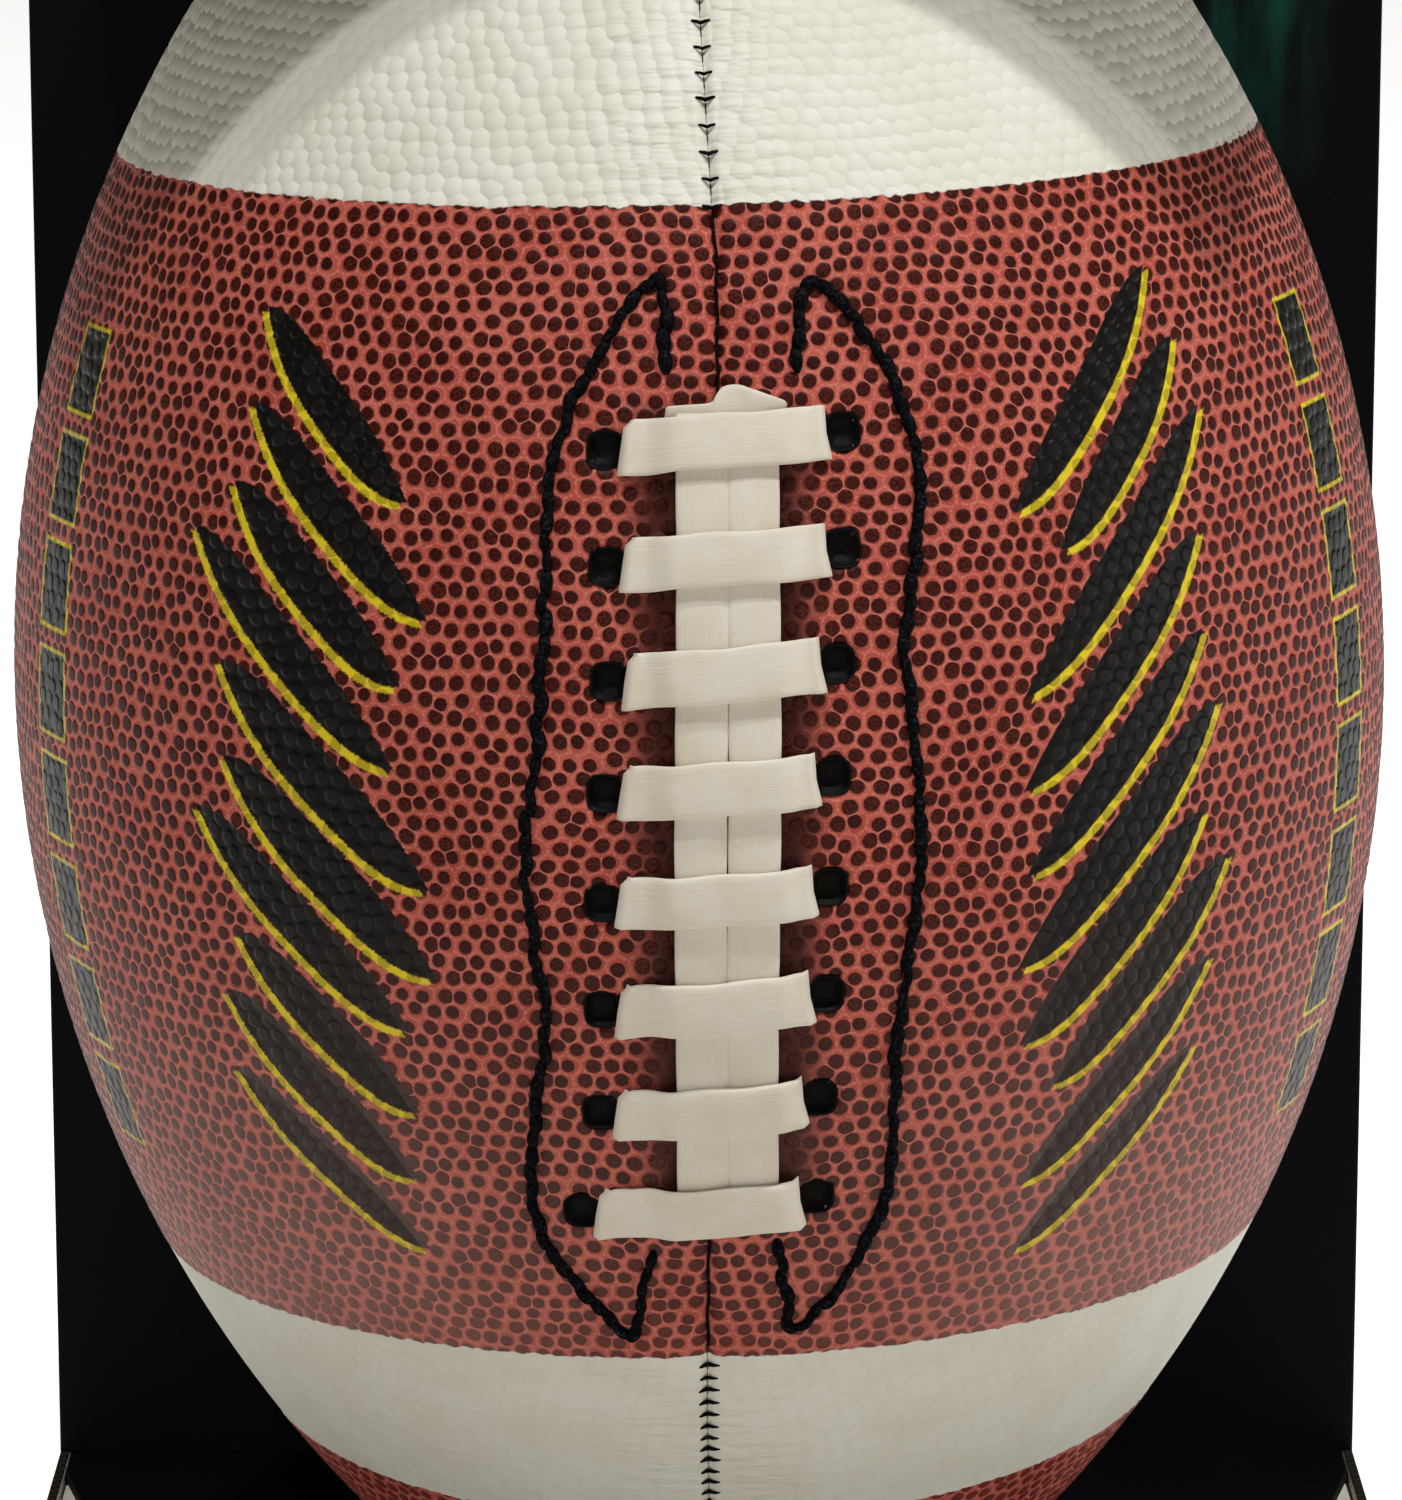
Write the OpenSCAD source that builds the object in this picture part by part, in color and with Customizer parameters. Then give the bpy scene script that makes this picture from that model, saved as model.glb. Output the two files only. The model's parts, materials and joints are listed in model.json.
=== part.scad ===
// Open-front display carton holding an upright laced football.
// Millimetres. Origin: centre of the carton's footprint, on the surface it stands on.
// +Z up, open front towards -Y.

/* [Carton] */
// Width of the carton, side to side
case_w = 183; // [180:1:190]
// Depth of the carton, front to back
case_d = 178; // [178:1:190]
// Height of the base, up to the top of the seat panel
base_h = 16; // [14:0.5:24]
// Height of the hood box over the upper tip
hood_h = 16; // [13:0.5:30]
// Depth of the hood box, from the carton's rear face
hood_d = 151; // [145:1:178]
// Thickness of the board
board_t = 1.5; // [1:0.1:2]
// Radius of the hole in the seat panel
seat_hole_r = 17.2; // [17:0.1:18]
// Radius of the hole in the hood panel
hood_hole_r = 19.8; // [19.5:0.1:22]
// Widest part of the slots along the seat panel's sides
seat_slot = 4.5; // [2:0.1:6]

/* [Football] */
// Largest radius of the ball
ball_r = 85; // [85:0.1:85]
// Half of the ball's length, centre to tip
ball_half = 140; // [140:0.1:140]
// Half of the distance between the two holes that hold the tips
grip_half = 131; // [131:0.5:131.5]
// Lean of the ball's axis towards the left side
ball_lean = 1; // [0:0.1:1]
// Sideways offset of the ball's centre
ball_shift = -1; // [-1:0.1:0]
// Turn of the ball about its own axis
ball_turn = 1; // [-3:0.5:3]
// Thickness of the cover
cover_t = 2; // [1.8:0.1:2]

/* [Lacing] */
// Number of cross laces
cross_count = 8; // [6:1:8]
// Distance from one cross lace to the next
cross_pitch = 12.8; // [12:0.1:13]
// Length of a cross lace
cross_len = 24; // [22:0.5:26]
// Width of the lace
lace_w = 6.4; // [5:0.1:7]
// Tilt of the cross laces, right end up
cross_tilt = 4; // [0:0.5:6]
// Radius of a lace hole
lace_hole_r = 2.2; // [2:0.1:2.5]

/* [Hidden] */
$fn = 96;

gap = 0.05;                                    // between boards that meet at a fold
half_w = case_w / 2;
half_d = case_d / 2;
inner_w = half_w - board_t;
inner_d = half_d - board_t;
ball_z = base_h + grip_half;                   // height of the ball's centre
hood_z = ball_z + grip_half;                   // underside of the hood panel, and the hood's hinge line
hood_front = half_d - hood_d;                  // y of the hood's front face
hood_inner_front = hood_front + board_t;
case_h = hood_z + hood_h;
deck_z = base_h - board_t;                     // underside of the seat panel
fold_half = 1.2;                               // half the height of the scored fold that carries the hood
fold_t = 0.8;                                  // thickness of the board where it is scored
flap_w = 14;                                   // reach of a glue flap

// The ball's outline is a circular arc through both tips. arc_r is its radius and arc_x how far
// its centre lies on the far side of the ball's axis.
arc_r = (pow(ball_r, 2) + pow(ball_half, 2)) / (2 * ball_r);
arc_x = arc_r - ball_r;
tip_bore = 0.8;                                // radius left open where the four panels meet
seam_half = 0.25;                              // degrees from a seam to the panel's edge
thread_half = 0.12;                            // degrees, half the width of the thread in a seam
layer_gap = 0.1;                               // between the layers inside the ball
stay_t = 1;
lining_t = 1;
bladder_t = 0.9;
stay_depth = cover_t + layer_gap;
lining_depth = stay_depth + stay_t + layer_gap;
bladder_depth = lining_depth + lining_t + layer_gap;

// Lacing, in degrees about the ball's axis and millimetres along it
lace_axis = 1.4;
lace_mid_z = -2.4;
hole_turn = 9;                                 // degrees from the middle of the holes to each row
hole_mid = 0.5;
strand_low = -50;
strand_high = 48;
strand_proud = 1.0;                            // height of the long runs over the cover
cross_proud = 2.0;                             // height of the cross laces over the cover
strand_gap = 0.15;                             // degrees between the two long runs
strand_turn = 4.7;                             // degrees that one long run covers

// Outline of the left stay, from its top point round the outside to its bottom point.
// The right one is its mirror image, a little wider because the lace sits off the seam.
STAY_OUTLINE = [
    [-5, 60], [-9, 55.5], [-14, 48], [-16.5, 39], [-17.5, 29], [-18, 18], [-18.8, 6],
    [-19.8, -4], [-19, -14], [-18, -25], [-19, -36], [-19.3, -46], [-17, -54.5], [-12.5, -60], [-8, -65]
];
STAY_INNER = [[-6.2, -58], [-5, -51.5]];
STAY_TOP = [[-4, 51], [-4.2, 55.5]];
stay_shift = 6.4;                              // how far the right stay's outline lies to the right
thread_r = 0.4;
thread_lift = 0.65;                            // centre of the thread over the cover

valve_turn = 152;
valve_z = 18;
valve_r = 3.9;

board_black = [0.035, 0.035, 0.04];
board_raw = [0.72, 0.71, 0.68];
leather_red = [0.45, 0.17, 0.14];
lace_white = [0.85, 0.82, 0.74];
thread_black = [0.03, 0.03, 0.03];
cotton = [0.8, 0.77, 0.68];
rubber_black = [0.08, 0.08, 0.08];

// ---------- Carton ----------

// A board between two opposite corners
module board(low, high) {
    translate(low) cube(high - low);
}

module back_panel() {
    color(board_black)
        board([-half_w, inner_d, 0], [half_w, half_d, hood_z - fold_half - gap]);
}

module base_bottom() {
    color(board_raw)
        board([-inner_w + gap, -inner_d + gap, 0], [inner_w - gap, inner_d - gap, board_t]);
}

module base_front_wall() {
    color(board_black)
        board([-half_w, -half_d, 0], [half_w, -inner_d, base_h]);
}

module base_side_wall() {
    board([inner_w, -inner_d + gap, 0], [half_w, inner_d - gap, base_h]);
}

module base_left_wall() {
    color(board_black) mirror([1, 0, 0]) base_side_wall();
}

module base_right_wall() {
    color(board_black) base_side_wall();
}

// The seat's outline: full width at its front and rear edges, narrower in between
module seat_outline() {
    edge = inner_w - gap;
    reach = inner_d - gap;
    waist = edge - seat_slot;
    polygon([
        [edge, reach], [edge, reach - 9], [waist, reach - 27], [waist, -reach + 27], [edge, -reach + 9],
        [edge, -reach], [-edge, -reach], [-edge, -reach + 9], [-waist, -reach + 27], [-waist, reach - 27],
        [-edge, reach - 9], [-edge, reach]
    ]);
}

module seat_panel() {
    color(board_black)
        difference() {
            translate([0, 0, deck_z]) linear_extrude(board_t) seat_outline();
            translate([0, 0, deck_z - 1]) cylinder(r = seat_hole_r, h = board_t + 2);
        }
}

// Flap folded down from the seat's rear edge and glued to the back panel
module seat_glue_flap() {
    color(board_raw)
        board(
            [-inner_w + flap_w, inner_d - board_t - gap, 2.5],
            [inner_w - flap_w, inner_d - gap, deck_z - gap]
        );
}

// Four flaps that glue the side walls to the front wall and to the back panel
module base_glue_flaps() {
    reach_x = inner_w - gap;
    reach_y = inner_d - gap;
    color(board_raw)
        for (side = [0, 1]) mirror([side, 0, 0]) {
            board([reach_x - flap_w, -reach_y, 2], [reach_x, -reach_y + board_t, deck_z - gap]);
            board([reach_x - flap_w + 2, reach_y - board_t, 2], [reach_x, reach_y, deck_z - gap]);
        }
}

// Scored fold between the back panel and the hood's back wall. The hinge line is its outer middle line.
module hood_fold() {
    color(board_black)
        board([-half_w, half_d - fold_t, hood_z - fold_half], [half_w, half_d, hood_z + fold_half]);
}

module hood_panel() {
    color(board_black)
        difference() {
            board(
                [-inner_w + gap, hood_inner_front + gap, hood_z + gap],
                [inner_w - gap, inner_d - gap, hood_z + board_t]
            );
            translate([0, 0, hood_z - 1]) cylinder(r = hood_hole_r, h = board_t + 2);
        }
}

module hood_front_wall() {
    color(board_black)
        board([-half_w, hood_front, hood_z + gap], [half_w, hood_inner_front, case_h - board_t - gap]);
}

module hood_back_wall() {
    color(board_black)
        board([-half_w, inner_d, hood_z + fold_half + gap], [half_w, half_d, case_h - board_t - gap]);
}

module hood_side_wall() {
    board([inner_w, hood_inner_front + gap, hood_z + gap], [half_w, inner_d - gap, case_h - board_t - gap]);
}

module hood_left_wall() {
    color(board_black) mirror([1, 0, 0]) hood_side_wall();
}

module hood_right_wall() {
    color(board_black) hood_side_wall();
}

// Two flaps folded in from the hood's side walls, under the lid
module hood_dust_flaps() {
    top = case_h - board_t - gap;
    reach = 52;
    color(board_raw)
        for (side = [0, 1]) mirror([side, 0, 0])
            translate([inner_w - gap, 0, top - board_t])
                linear_extrude(board_t)
                    polygon([
                        [0, hood_inner_front + 6],
                        [-reach, hood_inner_front + 20],
                        [-reach, inner_d - 16],
                        [0, inner_d - 3]
                    ]);
}

module hood_lid() {
    color(board_black)
        board([-half_w, hood_front, case_h - board_t], [half_w, half_d, case_h]);
}

// Flap on the lid's front edge, tucked down behind the hood's front wall
module lid_tuck_flap() {
    top = case_h - board_t - gap;
    tuck_y = hood_inner_front + 1.2;
    color(board_black)
        translate([0, tuck_y + board_t, top])
            rotate([90, 0, 0])
                linear_extrude(board_t)
                    polygon([
                        [-inner_w + 3, 0], [-inner_w + 6, -7], [-inner_w + 13, -11],
                        [inner_w - 13, -11], [inner_w - 6, -7], [inner_w - 3, 0]
                    ]);
}

// ---------- Football ----------

// Places the ball's own frame: centre at the origin, axis along Z, front seam towards -Y
module in_ball() {
    translate([ball_shift, 0, ball_z])
        rotate([0, -ball_lean, 0])
            rotate([0, 0, ball_turn])
                children();
}

// Section of a layer between two depths under the outline
module layer_section(outer, inner) {
    intersection() {
        translate([-arc_x, 0])
            difference() {
                circle(r = arc_r - outer);
                circle(r = arc_r - inner);
            }
        translate([tip_bore, -ball_half - 5]) square([ball_r + 10, 2 * ball_half + 10]);
    }
}

// A layer swept from one angle to another, in degrees to the right of the front seam
module layer(outer, inner, from, to) {
    rotate([0, 0, from - 90])
        rotate_extrude(angle = to - from)
            layer_section(outer, inner);
}

// Stands children on the cover at an angle and a height, with their +Z pointing outwards
module on_cover(turn, z) {
    tilt = asin(z / arc_r);
    rotate([0, 0, turn - 90])
        translate([-arc_x, 0, 0])
            rotate([0, 90 - tilt, 0])
                translate([0, 0, arc_r])
                    children();
}

function cross_z(i) = lace_mid_z + ((cross_count - 1) / 2 - i) * cross_pitch;
// Radius of the ball at a height
function radius_at(z) = sqrt(pow(arc_r, 2) - pow(z, 2)) - arc_x;
// The holes of a cross lace lie on its tilted line
function hole_rise(side) = side * cross_len / 2 * tan(cross_tilt);

module lace_holes() {
    for (i = [0:cross_count - 1], side = [-1, 1])
        on_cover(hole_mid + side * hole_turn, cross_z(i) + hole_rise(side))
            translate([0, 0, -6]) cylinder(r = lace_hole_r, h = 12);
}

module cover_panel(from, to) {
    layer(0, cover_t, from + seam_half, to - seam_half);
}

module panel_front_left() {
    color(leather_red) in_ball() difference() {
        cover_panel(-90, 0);
        lace_holes();
    }
}

module panel_front_right() {
    color(leather_red) in_ball() difference() {
        cover_panel(0, 90);
        lace_holes();
    }
}

module panel_rear_left() {
    color(leather_red) in_ball() cover_panel(-180, -90);
}

module panel_rear_right() {
    color(leather_red) in_ball() difference() {
        cover_panel(90, 180);
        on_cover(valve_turn, valve_z) translate([0, 0, -6]) cylinder(r = valve_r + 0.1, h = 12);
    }
}

// Stay cut from a leaf-shaped outline and bent to the inside of the cover
module stay(outline, from, to) {
    intersection() {
        layer(stay_depth, stay_depth + stay_t, from, to);
        translate([0, -ball_r / 2, 0]) rotate([90, 0, 0]) linear_extrude(ball_r) polygon(outline);
    }
}

function to_right(points) = [for (p = points) [stay_shift - p.x, p.y]];

module lace_stay_left() {
    color(cotton) in_ball() difference() {
        stay(concat(STAY_OUTLINE, STAY_INNER, STAY_TOP), -25, 5);
        lace_holes();
    }
}

module lace_stay_right() {
    color(cotton) in_ball() difference() {
        stay(concat(to_right(STAY_OUTLINE), to_right(STAY_INNER), to_right(STAY_TOP)), -5, 25);
        lace_holes();
    }
}

module lace_tongue() {
    color(leather_red) in_ball() intersection() {
        layer(stay_depth, stay_depth + stay_t, -2, 6.5);
        translate([-ball_r, -2 * ball_r, strand_low])
            cube([2 * ball_r, 2 * ball_r, strand_high - strand_low]);
    }
}

// Point on the lifted cover surface over a place given as [x, z]
function over_cover(p, lift) =
    let (tilt = asin(p.y / arc_r), turn = asin(p.x / radius_at(p.y)), r = (arc_r + lift) * cos(tilt) - arc_x)
    [r * sin(turn), -r * cos(turn), (arc_r + lift) * sin(tilt)];

// A round thread swept along points: one ring of corners at each, square to the run of the thread
module swept_thread(path) {
    sides = 8;
    last = len(path) - 1;
    rings = [
        for (i = [0:last])
            let (
                run = path[min(i + 1, last)] - path[max(i - 1, 0)],
                ahead = run / norm(run),
                out = [path[i].x, path[i].y, 0] / norm([path[i].x, path[i].y]),
                across = cross(ahead, out) / norm(cross(ahead, out)),
                up = cross(across, ahead)
            )
            for (k = [0:sides - 1])
                path[i] + thread_r * (cos(k * 360 / sides) * across + sin(k * 360 / sides) * up)
    ];
    walls = [
        for (i = [0:last - 1], k = [0:sides - 1])
            let (next = (k + 1) % sides)
            [i * sides + k, i * sides + next, (i + 1) * sides + next, (i + 1) * sides + k]
    ];
    near_end = [for (k = [sides - 1:-1:0]) k];
    far_end = [for (k = [0:sides - 1]) last * sides + k];
    polyhedron(points = rings, faces = concat(walls, [near_end, far_end]), convexity = 6);
}

module thread_along(points) {
    swept_thread([for (p = points) over_cover(p, thread_lift)]);
}

module stay_thread_left() {
    color(thread_black) in_ball() thread_along(concat(STAY_TOP, STAY_OUTLINE, STAY_INNER));
}

module stay_thread_right() {
    color(thread_black) in_ball() thread_along(to_right(concat(STAY_TOP, STAY_OUTLINE, STAY_INNER)));
}

module lace_strand(from, to) {
    intersection() {
        layer(-strand_proud, -layer_gap, from, to);
        translate([-ball_r, -2 * ball_r, strand_low])
            cube([2 * ball_r, 2 * ball_r, strand_high - strand_low]);
    }
}

module lace_strand_left() {
    color(lace_white) in_ball() lace_strand(lace_axis - strand_turn, lace_axis - strand_gap);
}

module lace_strand_right() {
    color(lace_white) in_ball() lace_strand(lace_axis + strand_gap, lace_axis + strand_turn);
}

// One cross lace: a band over the long runs, with both ends going down into its holes
module cross_lace(i) {
    turn = hole_turn + 0.9;
    intersection() {
        layer(-cross_proud, -strand_proud - layer_gap, hole_mid - turn, hole_mid + turn);
        translate([0, -ball_r, cross_z(i)])
            rotate([0, -cross_tilt, 0])
                cube([60, 2 * ball_r, lace_w], center = true);
    }
    for (side = [-1, 1])
        on_cover(hole_mid + side * hole_turn, cross_z(i) + hole_rise(side))
            translate([0, 0, -cover_t + 0.1])
                cylinder(r = lace_hole_r - 0.3, h = cover_t + strand_proud + 0.4);
}

module cross_laces() {
    color(lace_white) in_ball() for (i = [0:cross_count - 1]) cross_lace(i);
}

// Tucked end of the lace, standing over the top cross lace
module lace_end() {
    low = cross_z(0) + lace_w / 2 + 0.8;
    color(lace_white) in_ball() intersection() {
        layer(-cross_proud, -strand_proud - layer_gap, lace_axis - 2.6, lace_axis + 4);
        translate([0, -ball_r, low + 1])
            rotate([0, -cross_tilt - 6, 0])
                cube([60, 2 * ball_r, 2.4], center = true);
    }
}

module seam_threads() {
    slit = strand_high - strand_low + 6;
    color(thread_black) in_ball() difference() {
        for (seam = [0:90:270])
            layer(0.25, cover_t - 0.1, seam - thread_half, seam + thread_half);
        translate([-5, -2 * ball_r, strand_low - 3]) cube([10, 2 * ball_r - 20, slit]);
    }
}

module lining() {
    color(cotton) in_ball() difference() {
        rotate_extrude() layer_section(lining_depth, lining_depth + lining_t);
        on_cover(valve_turn, valve_z) translate([0, 0, -8]) cylinder(r = valve_r + 0.1, h = 12);
    }
}

module bladder() {
    color(rubber_black) in_ball() difference() {
        rotate_extrude() layer_section(bladder_depth, bladder_depth + bladder_t);
        on_cover(valve_turn, valve_z) translate([0, 0, -10]) cylinder(r = valve_r + 0.1, h = 12);
    }
}

// Rubber plug flush with the cover, with a needle hole and a flange inside the bladder
module valve() {
    depth = bladder_depth + bladder_t;
    color(rubber_black) in_ball() on_cover(valve_turn, valve_z) difference() {
        union() {
            translate([0, 0, -depth - 4]) cylinder(r = valve_r, h = depth + 3.8);
            translate([0, 0, -depth - 2]) cylinder(r = valve_r + 3.5, h = 1.4);
        }
        translate([0, 0, -depth - 2]) cylinder(r = 0.6, h = depth + 4, $fn = 24);
    }
}

back_panel();
seat_panel();
seat_glue_flap();
base_bottom();
base_front_wall();
base_left_wall();
base_right_wall();
base_glue_flaps();
hood_fold();
hood_panel();
hood_front_wall();
hood_left_wall();
hood_right_wall();
hood_back_wall();
hood_dust_flaps();
hood_lid();
lid_tuck_flap();
panel_front_left();
panel_front_right();
panel_rear_left();
panel_rear_right();
lace_stay_left();
lace_stay_right();
stay_thread_left();
stay_thread_right();
lace_tongue();
lace_strand_left();
lace_strand_right();
cross_laces();
lace_end();
seam_threads();
lining();
bladder();
valve();
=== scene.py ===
import json
import math
import random

import bmesh
import bpy
import numpy as np
from mathutils import Matrix, Vector


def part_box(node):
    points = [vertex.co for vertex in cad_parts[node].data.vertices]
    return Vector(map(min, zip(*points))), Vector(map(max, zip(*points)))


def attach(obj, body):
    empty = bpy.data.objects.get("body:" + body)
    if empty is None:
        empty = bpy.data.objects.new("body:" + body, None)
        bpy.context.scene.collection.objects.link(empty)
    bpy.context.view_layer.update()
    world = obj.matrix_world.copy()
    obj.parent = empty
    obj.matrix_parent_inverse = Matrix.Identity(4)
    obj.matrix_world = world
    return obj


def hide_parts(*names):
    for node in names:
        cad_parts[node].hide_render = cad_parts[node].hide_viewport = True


# An open-front display carton of black printed board that holds a laced football upright.
# Lengths are in metres; MM turns the millimetres that the small details are given in into metres.
# Places on the ball are given as a turn about its axis (0 at the front, positive to the right)
# and an arc length along its outline (0 at the middle, positive upwards).

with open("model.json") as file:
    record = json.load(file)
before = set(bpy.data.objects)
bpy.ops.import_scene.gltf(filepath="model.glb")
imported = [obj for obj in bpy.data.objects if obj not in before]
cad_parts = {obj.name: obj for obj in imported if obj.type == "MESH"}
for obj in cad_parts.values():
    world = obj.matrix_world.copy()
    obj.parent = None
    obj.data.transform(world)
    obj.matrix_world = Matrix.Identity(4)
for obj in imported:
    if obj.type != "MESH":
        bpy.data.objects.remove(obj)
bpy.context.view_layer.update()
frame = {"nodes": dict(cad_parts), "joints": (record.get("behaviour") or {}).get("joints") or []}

MM = 0.001

# ---------- The ball's own frame ----------

spin_joint = next(j for j in frame["joints"] if j["name"] == "ball_spin")
BALL_CENTRE = Vector(spin_joint["pos_m"])
BALL_AXIS = Vector(spin_joint["axis"]).normalized()
LEAN = math.asin(-BALL_AXIS.x)
BALL_R = -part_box("panel_front_left")[0].y
BALL_HALF = 140 * MM
ARC_R = (BALL_R ** 2 + BALL_HALF ** 2) / (2 * BALL_R)
ARC_X = ARC_R - BALL_R
COVER_T = 2 * MM
LACE_X = 3.1 * MM          # the gap between the two long runs of the lace
LACE_MID = -2.4 * MM       # height of the middle of the lacing over the ball's centre
LACE_PITCH = 12.8 * MM
WHITE_FROM = 70.1 * MM     # the white bands, as arc lengths from the middle
WHITE_TO = 98.2 * MM
STRIPE_TILT = 0.009         # slope of the painted bands across the ball's own middle plane

TO_ROW = Matrix.Translation(BALL_CENTRE) @ Matrix.Rotation(-LEAN, 4, "Y")
TO_ROW_NP = np.array(TO_ROW)


def smooth(x, low, high):
    t = np.clip((x - low) / (high - low), 0.0, 1.0)
    return t * t * (3 - 2 * t)


def radius(s):
    """Radius of the ball at an arc length from its middle."""
    return ARC_R * np.cos(s / ARC_R) - ARC_X


def height(s):
    return ARC_R * np.sin(s / ARC_R)


def ball_points(turn, s, lift=0.0):
    """Points over the ball's surface, in the row frame, as an array with one row per point."""
    turn, s, lift = np.broadcast_arrays(*(np.asarray(value, float) for value in (turn, s, lift)))
    r = (ARC_R + lift) * np.cos(s / ARC_R) - ARC_X
    local = np.stack([r * np.sin(turn), -r * np.cos(turn), (ARC_R + lift) * np.sin(s / ARC_R)], -1)
    return local @ TO_ROW_NP[:3, :3].T + TO_ROW_NP[:3, 3]


def ball_normals(turn, s):
    c = np.cos(s / ARC_R)
    local = np.stack([c * np.sin(turn), -c * np.cos(turn), np.sin(s / ARC_R)], -1)
    return local @ TO_ROW_NP[:3, :3].T


def front_place(x, z):
    """(turn, s) of the place on the ball's front that lies at x and z from its centre, seen upright."""
    xb = np.asarray(x) * math.cos(LEAN) + np.asarray(z) * math.sin(LEAN)
    zb = -np.asarray(x) * math.sin(LEAN) + np.asarray(z) * math.cos(LEAN)
    s = ARC_R * np.arcsin(zb / ARC_R)
    return np.arcsin(np.clip(xb / radius(s), -1, 1)), s


# Where the front seam runs, as height and distance to the right from the ball's centre, in millimetres.
SEAM_Z = [-100, -75, -60, 50, 62, 68, 88, 105]
SEAM_X = [1.2, 0.8, 0.9, 2.0, 1.9, 1.4, 0.1, -0.4]


def seam_turn(which, s):
    """Turn of seam 0 (front), 1 (right), 2 (rear) or 3 (left) at an arc length."""
    s = np.asarray(s, float)
    if which % 4:
        return np.full_like(s, math.radians(1) + which * math.pi / 2)
    r = radius(s)
    offset = (np.interp(height(s) / MM, SEAM_Z, SEAM_X) * MM + height(s) * math.sin(LEAN))
    offset = offset * smooth(r, 5 * MM, 35 * MM)
    return np.arcsin(np.clip(offset / np.maximum(r, 1e-4), -1, 1))


# ---------- Helpers for nodes and meshes ----------

class Wire:
    """A value that a node gives, which plain arithmetic can be done with."""

    def __init__(self, nodes, socket):
        self.nodes = nodes
        self.socket = socket

    def __add__(self, other):
        return self.nodes.math("ADD", self, other)

    def __radd__(self, other):
        return self.nodes.math("ADD", other, self)

    def __sub__(self, other):
        return self.nodes.math("SUBTRACT", self, other)

    def __rsub__(self, other):
        return self.nodes.math("SUBTRACT", other, self)

    def __mul__(self, other):
        return self.nodes.math("MULTIPLY", self, other)

    def __truediv__(self, other):
        return self.nodes.math("DIVIDE", self, other)

    def __abs__(self):
        return self.nodes.math("ABSOLUTE", self)


class Nodes:
    """Adds nodes to a tree, and links what it is given when that is a wire."""

    def __init__(self, tree):
        self.tree = tree

    def put(self, socket, value):
        if isinstance(value, Wire):
            self.tree.links.new(value.socket, socket)
        else:
            socket.default_value = value

    def wires(self, node):
        return [Wire(self, socket) for socket in node.outputs]

    def add(self, kind, inputs=None, **settings):
        node = self.tree.nodes.new(kind)
        for key, value in settings.items():
            setattr(node, key, value)
        for key, value in (inputs or {}).items():
            self.put(node.inputs[key], value)
        return node

    def math(self, operation, *values):
        return self.wires(self.add("ShaderNodeMath", dict(enumerate(values)), operation=operation))[0]

    def vmath(self, operation, *values):
        keys = (0, "Scale") if operation == "SCALE" else (0, 1)
        node = self.add("ShaderNodeVectorMath", dict(zip(keys, values)), operation=operation)
        return Wire(self, node.outputs["Value" if operation in ("LENGTH", "DOT_PRODUCT") else "Vector"])

    def split(self, vector):
        return self.wires(self.add("ShaderNodeSeparateXYZ", {0: vector}))

    def join(self, x, y):
        return self.wires(self.add("ShaderNodeCombineXYZ", {0: x, 1: y}))[0]

    def where(self):
        """Place on the object."""
        return Wire(self, self.add("ShaderNodeTexCoord").outputs["Object"])

    def uv(self, name):
        return self.wires(self.add("ShaderNodeUVMap", uv_map=name))[0]

    def attribute(self, name, kind="FLOAT_VECTOR"):
        return self.wires(self.add("GeometryNodeInputNamedAttribute", {"Name": name}, data_type=kind))[0]

    def ramp(self, value, low, high, to_low=0.0, to_high=1.0):
        """A smooth step from to_low where value is at low, to to_high where it is at high."""
        ends = {"Value": value, "From Min": low, "From Max": high, "To Min": to_low, "To Max": to_high}
        return self.wires(self.add("ShaderNodeMapRange", ends, interpolation_type="SMOOTHSTEP"))[0]

    def mix(self, factor, a, b):
        return self.wires(self.add("ShaderNodeMix", {0: factor, 6: a, 7: b}, data_type="RGBA"))[2]

    def noise(self, vector, scale, detail=2.0, roughness=0.5):
        settings = {"Vector": vector, "Scale": scale, "Detail": detail, "Roughness": roughness}
        return self.wires(self.add("ShaderNodeTexNoise", settings))[0]

    def paint(self, colour, rough, specular, strength, distance, relief):
        """Sets what the material's shader looks like, and returns the material."""
        bump = self.add("ShaderNodeBump", {"Strength": strength, "Distance": distance, "Height": relief})
        looks = {"Base Color": colour, "Roughness": rough, "Specular IOR Level": specular,
                 "Normal": self.wires(bump)[0]}
        for name, value in looks.items():
            self.put(self.shader.inputs[name], value)
        return self.material


def new_material(name):
    """The nodes of a new material with a plain shader in it."""
    material = bpy.data.materials.new(name)
    material.use_nodes = True
    tree = material.node_tree
    tree.nodes.clear()
    n = Nodes(tree)
    n.material = material
    n.shader = n.add("ShaderNodeBsdfPrincipled")
    out = n.add("ShaderNodeOutputMaterial")
    tree.links.new(n.shader.outputs[0], out.inputs["Surface"])
    return n


def rgb(r, g, b):
    """A colour given in 0 to 255 as seen on a screen, as the linear colour that a shader takes."""
    shares = [c / 255 for c in (r, g, b)]
    return (*(c / 12.92 if c <= 0.04045 else ((c + 0.055) / 1.055) ** 2.4 for c in shares), 1.0)


def mesh_object(name, points, faces, material, smooth_faces=True):
    mesh = bpy.data.meshes.new(name)
    mesh.from_pydata([tuple(p) for p in points], [], [tuple(f) for f in faces])
    mesh.update()
    if smooth_faces:
        mesh.polygons.foreach_set("use_smooth", [True] * len(mesh.polygons))
    mesh.materials.append(material)
    obj = bpy.data.objects.new(name, mesh)
    bpy.context.scene.collection.objects.link(obj)
    return obj


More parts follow.
